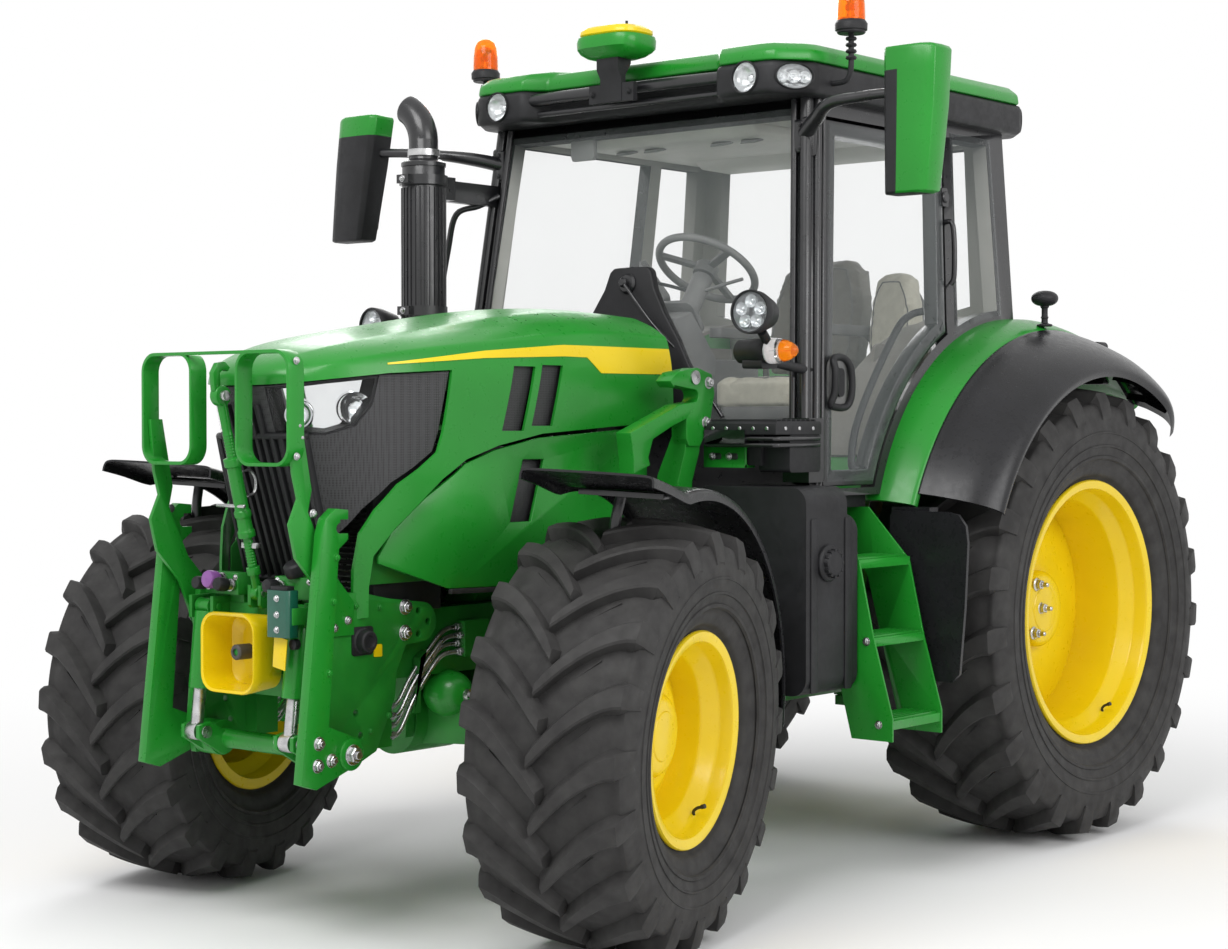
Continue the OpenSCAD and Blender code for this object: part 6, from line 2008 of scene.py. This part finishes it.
def engine_air():
    """Air filter, its hoses and clamps above the engine."""
    s = Shape()
    can = upright((0, 1, 0), (FILTER_X, -.99, FILTER_Z))
    s.put(*turned([(0, .001), (0, .060), (.020, .085), (.035, .098), (.30, .098), (.31, .106), (.33, .106),
                   (.34, .098), (.42, .094), (.435, .080), (.435, .001)], 48), 0, can)
    for along in (.07, .13, .19, .25):
        s.put(*turned([(along, .0975), (along + .004, .1015), (along + .016, .1015), (along + .020, .0975)],
                      48), 0, can)
    for y in (-.90, -.64):
        s.put(*block(FILTER_X - .060, FILTER_X + .060, y - .012, y + .012, 1.435, 1.535), 1)
    s.put(*tube([(FILTER_X, -.985, FILTER_Z), (FILTER_X - .02, -1.08, 1.600), (-.09, -1.10, 1.52),
                 (-.145, -1.03, 1.435), (-.150, -.93, 1.420)], .038, 20), 2)
    s.put(*tube([(.10, -.70, 1.70), (.14, -.70, 1.73), (.17, -.82, 1.73), (.16, -1.10, 1.69),
                 (.12, -1.40, 1.66)], .034, 20), 2)
    for at in ((FILTER_X, -1.00, FILTER_Z), (-.150, -.945, 1.420)):
        s.put(*turned([(-.008, .040), (-.008, .043), (.008, .043), (.008, .040)], 28), 1,
              upright((0, 1, 0), at))
    s.piece("engine_air", [BLACK, STEEL, TRIM], "chassis", 40, 0.003, 2)


def engine_fan():
    """Fan, belt pulleys and belt between the engine and the radiators."""
    s = Shape()
    wheel = upright((0, -1, 0), (0, -1.40, 1.285))
    s.put(*turned([(-.10, .001), (-.10, .045), (-.02, .055), (.02, .055), (.035, .040), (.035, .001)], 32), 0,
          wheel)
    pitch = Matrix.Rotation(math.radians(28), 4, "X")
    for k in range(8):
        turn = wheel @ Matrix.Rotation(math.radians(45 * k), 4, "Z") @ pitch
        s.put(*prism([(.045, -.030), (.12, -.050), (.205, -.045), (.212, .030), (.12, .048), (.045, .028)],
                     -.002, .002, "z"), 0, turn)
    shroud = upright((0, -1, 0), (0, -1.42, 1.285))
    s.put(*turned([(-.03, .224), (.03, .224), (.075, .245), (.075, .250), (.025, .230), (-.03, .230),
                   (-.03, .224)], 56), 0, shroud)
    rims = ((0, 1.085, .085), (0, 1.285, .060), (.145, 1.190, .040), (-.145, 1.210, .045))
    for x, z, r in rims:
        s.put(*turned([(-.040, .001), (-.040, r), (-.032, r), (-.026, r - .010), (-.014, r - .010),
                       (-.008, r), (0, r), (0, .001)], 36),
              1, upright((0, -1, 0), (x, -1.258, z)))
    belt = [(-.085, 1.08), (-.19, 1.20), (-.17, 1.25), (-.06, 1.335), (.03, 1.338), (.17, 1.222),
            (.182, 1.175), (.08, 1.05), (0, 1.000)]
    s.put(*tube([(x, -1.239, z) for x, z in belt] + [(-.085, -1.239, 1.08)], .006, 8), 2)
    s.piece("engine_fan", [BLACK, STEEL, TRIM], "chassis", 40)


def radiators():
    """Radiator cores with fins, side and top tanks, cap and hoses."""
    s = Shape()
    s.put(*block(-.252, .252, CORE_FRONT + .03, CORE_REAR - .03, 1.016, 1.505), 1)
    for side in (1, -1):
        s.put(*block(side * .2675 - .0165, side * .2675 + .0165, CORE_FRONT, CORE_REAR, 1.012, 1.530), 0)
    s.put(*prism([(CORE_FRONT, 1.500), (CORE_REAR, 1.500), (CORE_REAR, 1.535), (CORE_REAR - .03, 1.557),
                  (CORE_FRONT + .03, 1.557), (CORE_FRONT, 1.535)], -.255, .255, "x"), 0)
    for k in range(26):
        z = 1.030 + k * .018
        s.put(*block(-.250, .250, CORE_FRONT + .006, CORE_FRONT + .034, z, z + .004), 2)
        s.put(*block(-.250, .250, CORE_REAR - .034, CORE_REAR - .006, z, z + .004), 2)
    s.put(*turned([(0, .001), (0, .026), (.012, .030), (.022, .030), (.026, .024), (.026, .001)], 28), 1,
          upright((0, 0, 1), (.15, -1.60, 1.556)))
    s.put(*tube([(.17, -1.515, 1.520), (.17, -1.44, 1.518), (.15, -1.33, 1.43), (.08, -1.23, 1.375)], .027,
                18), 3)
    s.put(*tube([(-.20, -1.515, 1.08), (-.20, -1.42, 1.075), (-.19, -1.33, 1.10), (-.15, -1.25, 1.12)], .027,
                18), 3)
    obj = s.piece("radiators", [BLACK, IRON, STEEL, TRIM], "chassis", 40, 0.0015, 2)
    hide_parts("cooling_pack")


def engine():
    """All under the hood."""
    engine_castings()
    engine_covers()
    engine_air()
    engine_fan()
    radiators()


def main():
    """Builds every piece."""
    camera()
    stage_and_light()
    wheels()
    hood()
    front_fenders()
    rear_fenders()
    flares()
    roof()
    mirrors()
    beacons()
    receiver()
    side_lamps()
    cab_shell()
    headliner()
    seats()
    controls()
    cowl_and_wiper()
    pillars()
    door_fittings()
    washing_step()
    catch_bolts()
    arch_lining()
    dark_front()
    pto_cup()
    hitch_fittings()
    hydraulic_tubes()
    top_link()
    arm_fittings()
    exhaust_fittings()
    step_treads()
    fender_fittings()
    rear_fittings()
    for node in ("front_frame", "transaxle", "front_axle", "front_hitch_frame", "rear_hitch_frame",
                 "knuckle_left", "knuckle_right"):
        dress(node, GREEN_CAST, 0.006)
    dress("side_panels", GREEN, 0.003)
    loader_catch()
    for node in ("steps", "front_guard", "front_lift_arms", "rear_lower_links", "rear_lift_arms",
                 "rear_lift_rods", "lift_barrels"):
        dress(node, GREEN, 0.004)
    dress("fuel_tank", BLACK, 0.03, 4)
    for node in ("battery_box", "cab_floor"):
        dress(node, BLACK, 0.004)
    dress("exhaust", BLACK_PAINT, 0.006)
    dress("door_frame", BLACK_PAINT, 0.005, merge=False)
    engine()
    for node in ("cab_glass", "door_glass", "rear_window"):
        paint(node, GLASS)
    dress("lift_rods", STEEL, 0.002)


main()
bpy.context.scene.view_settings.view_transform = "Standard"
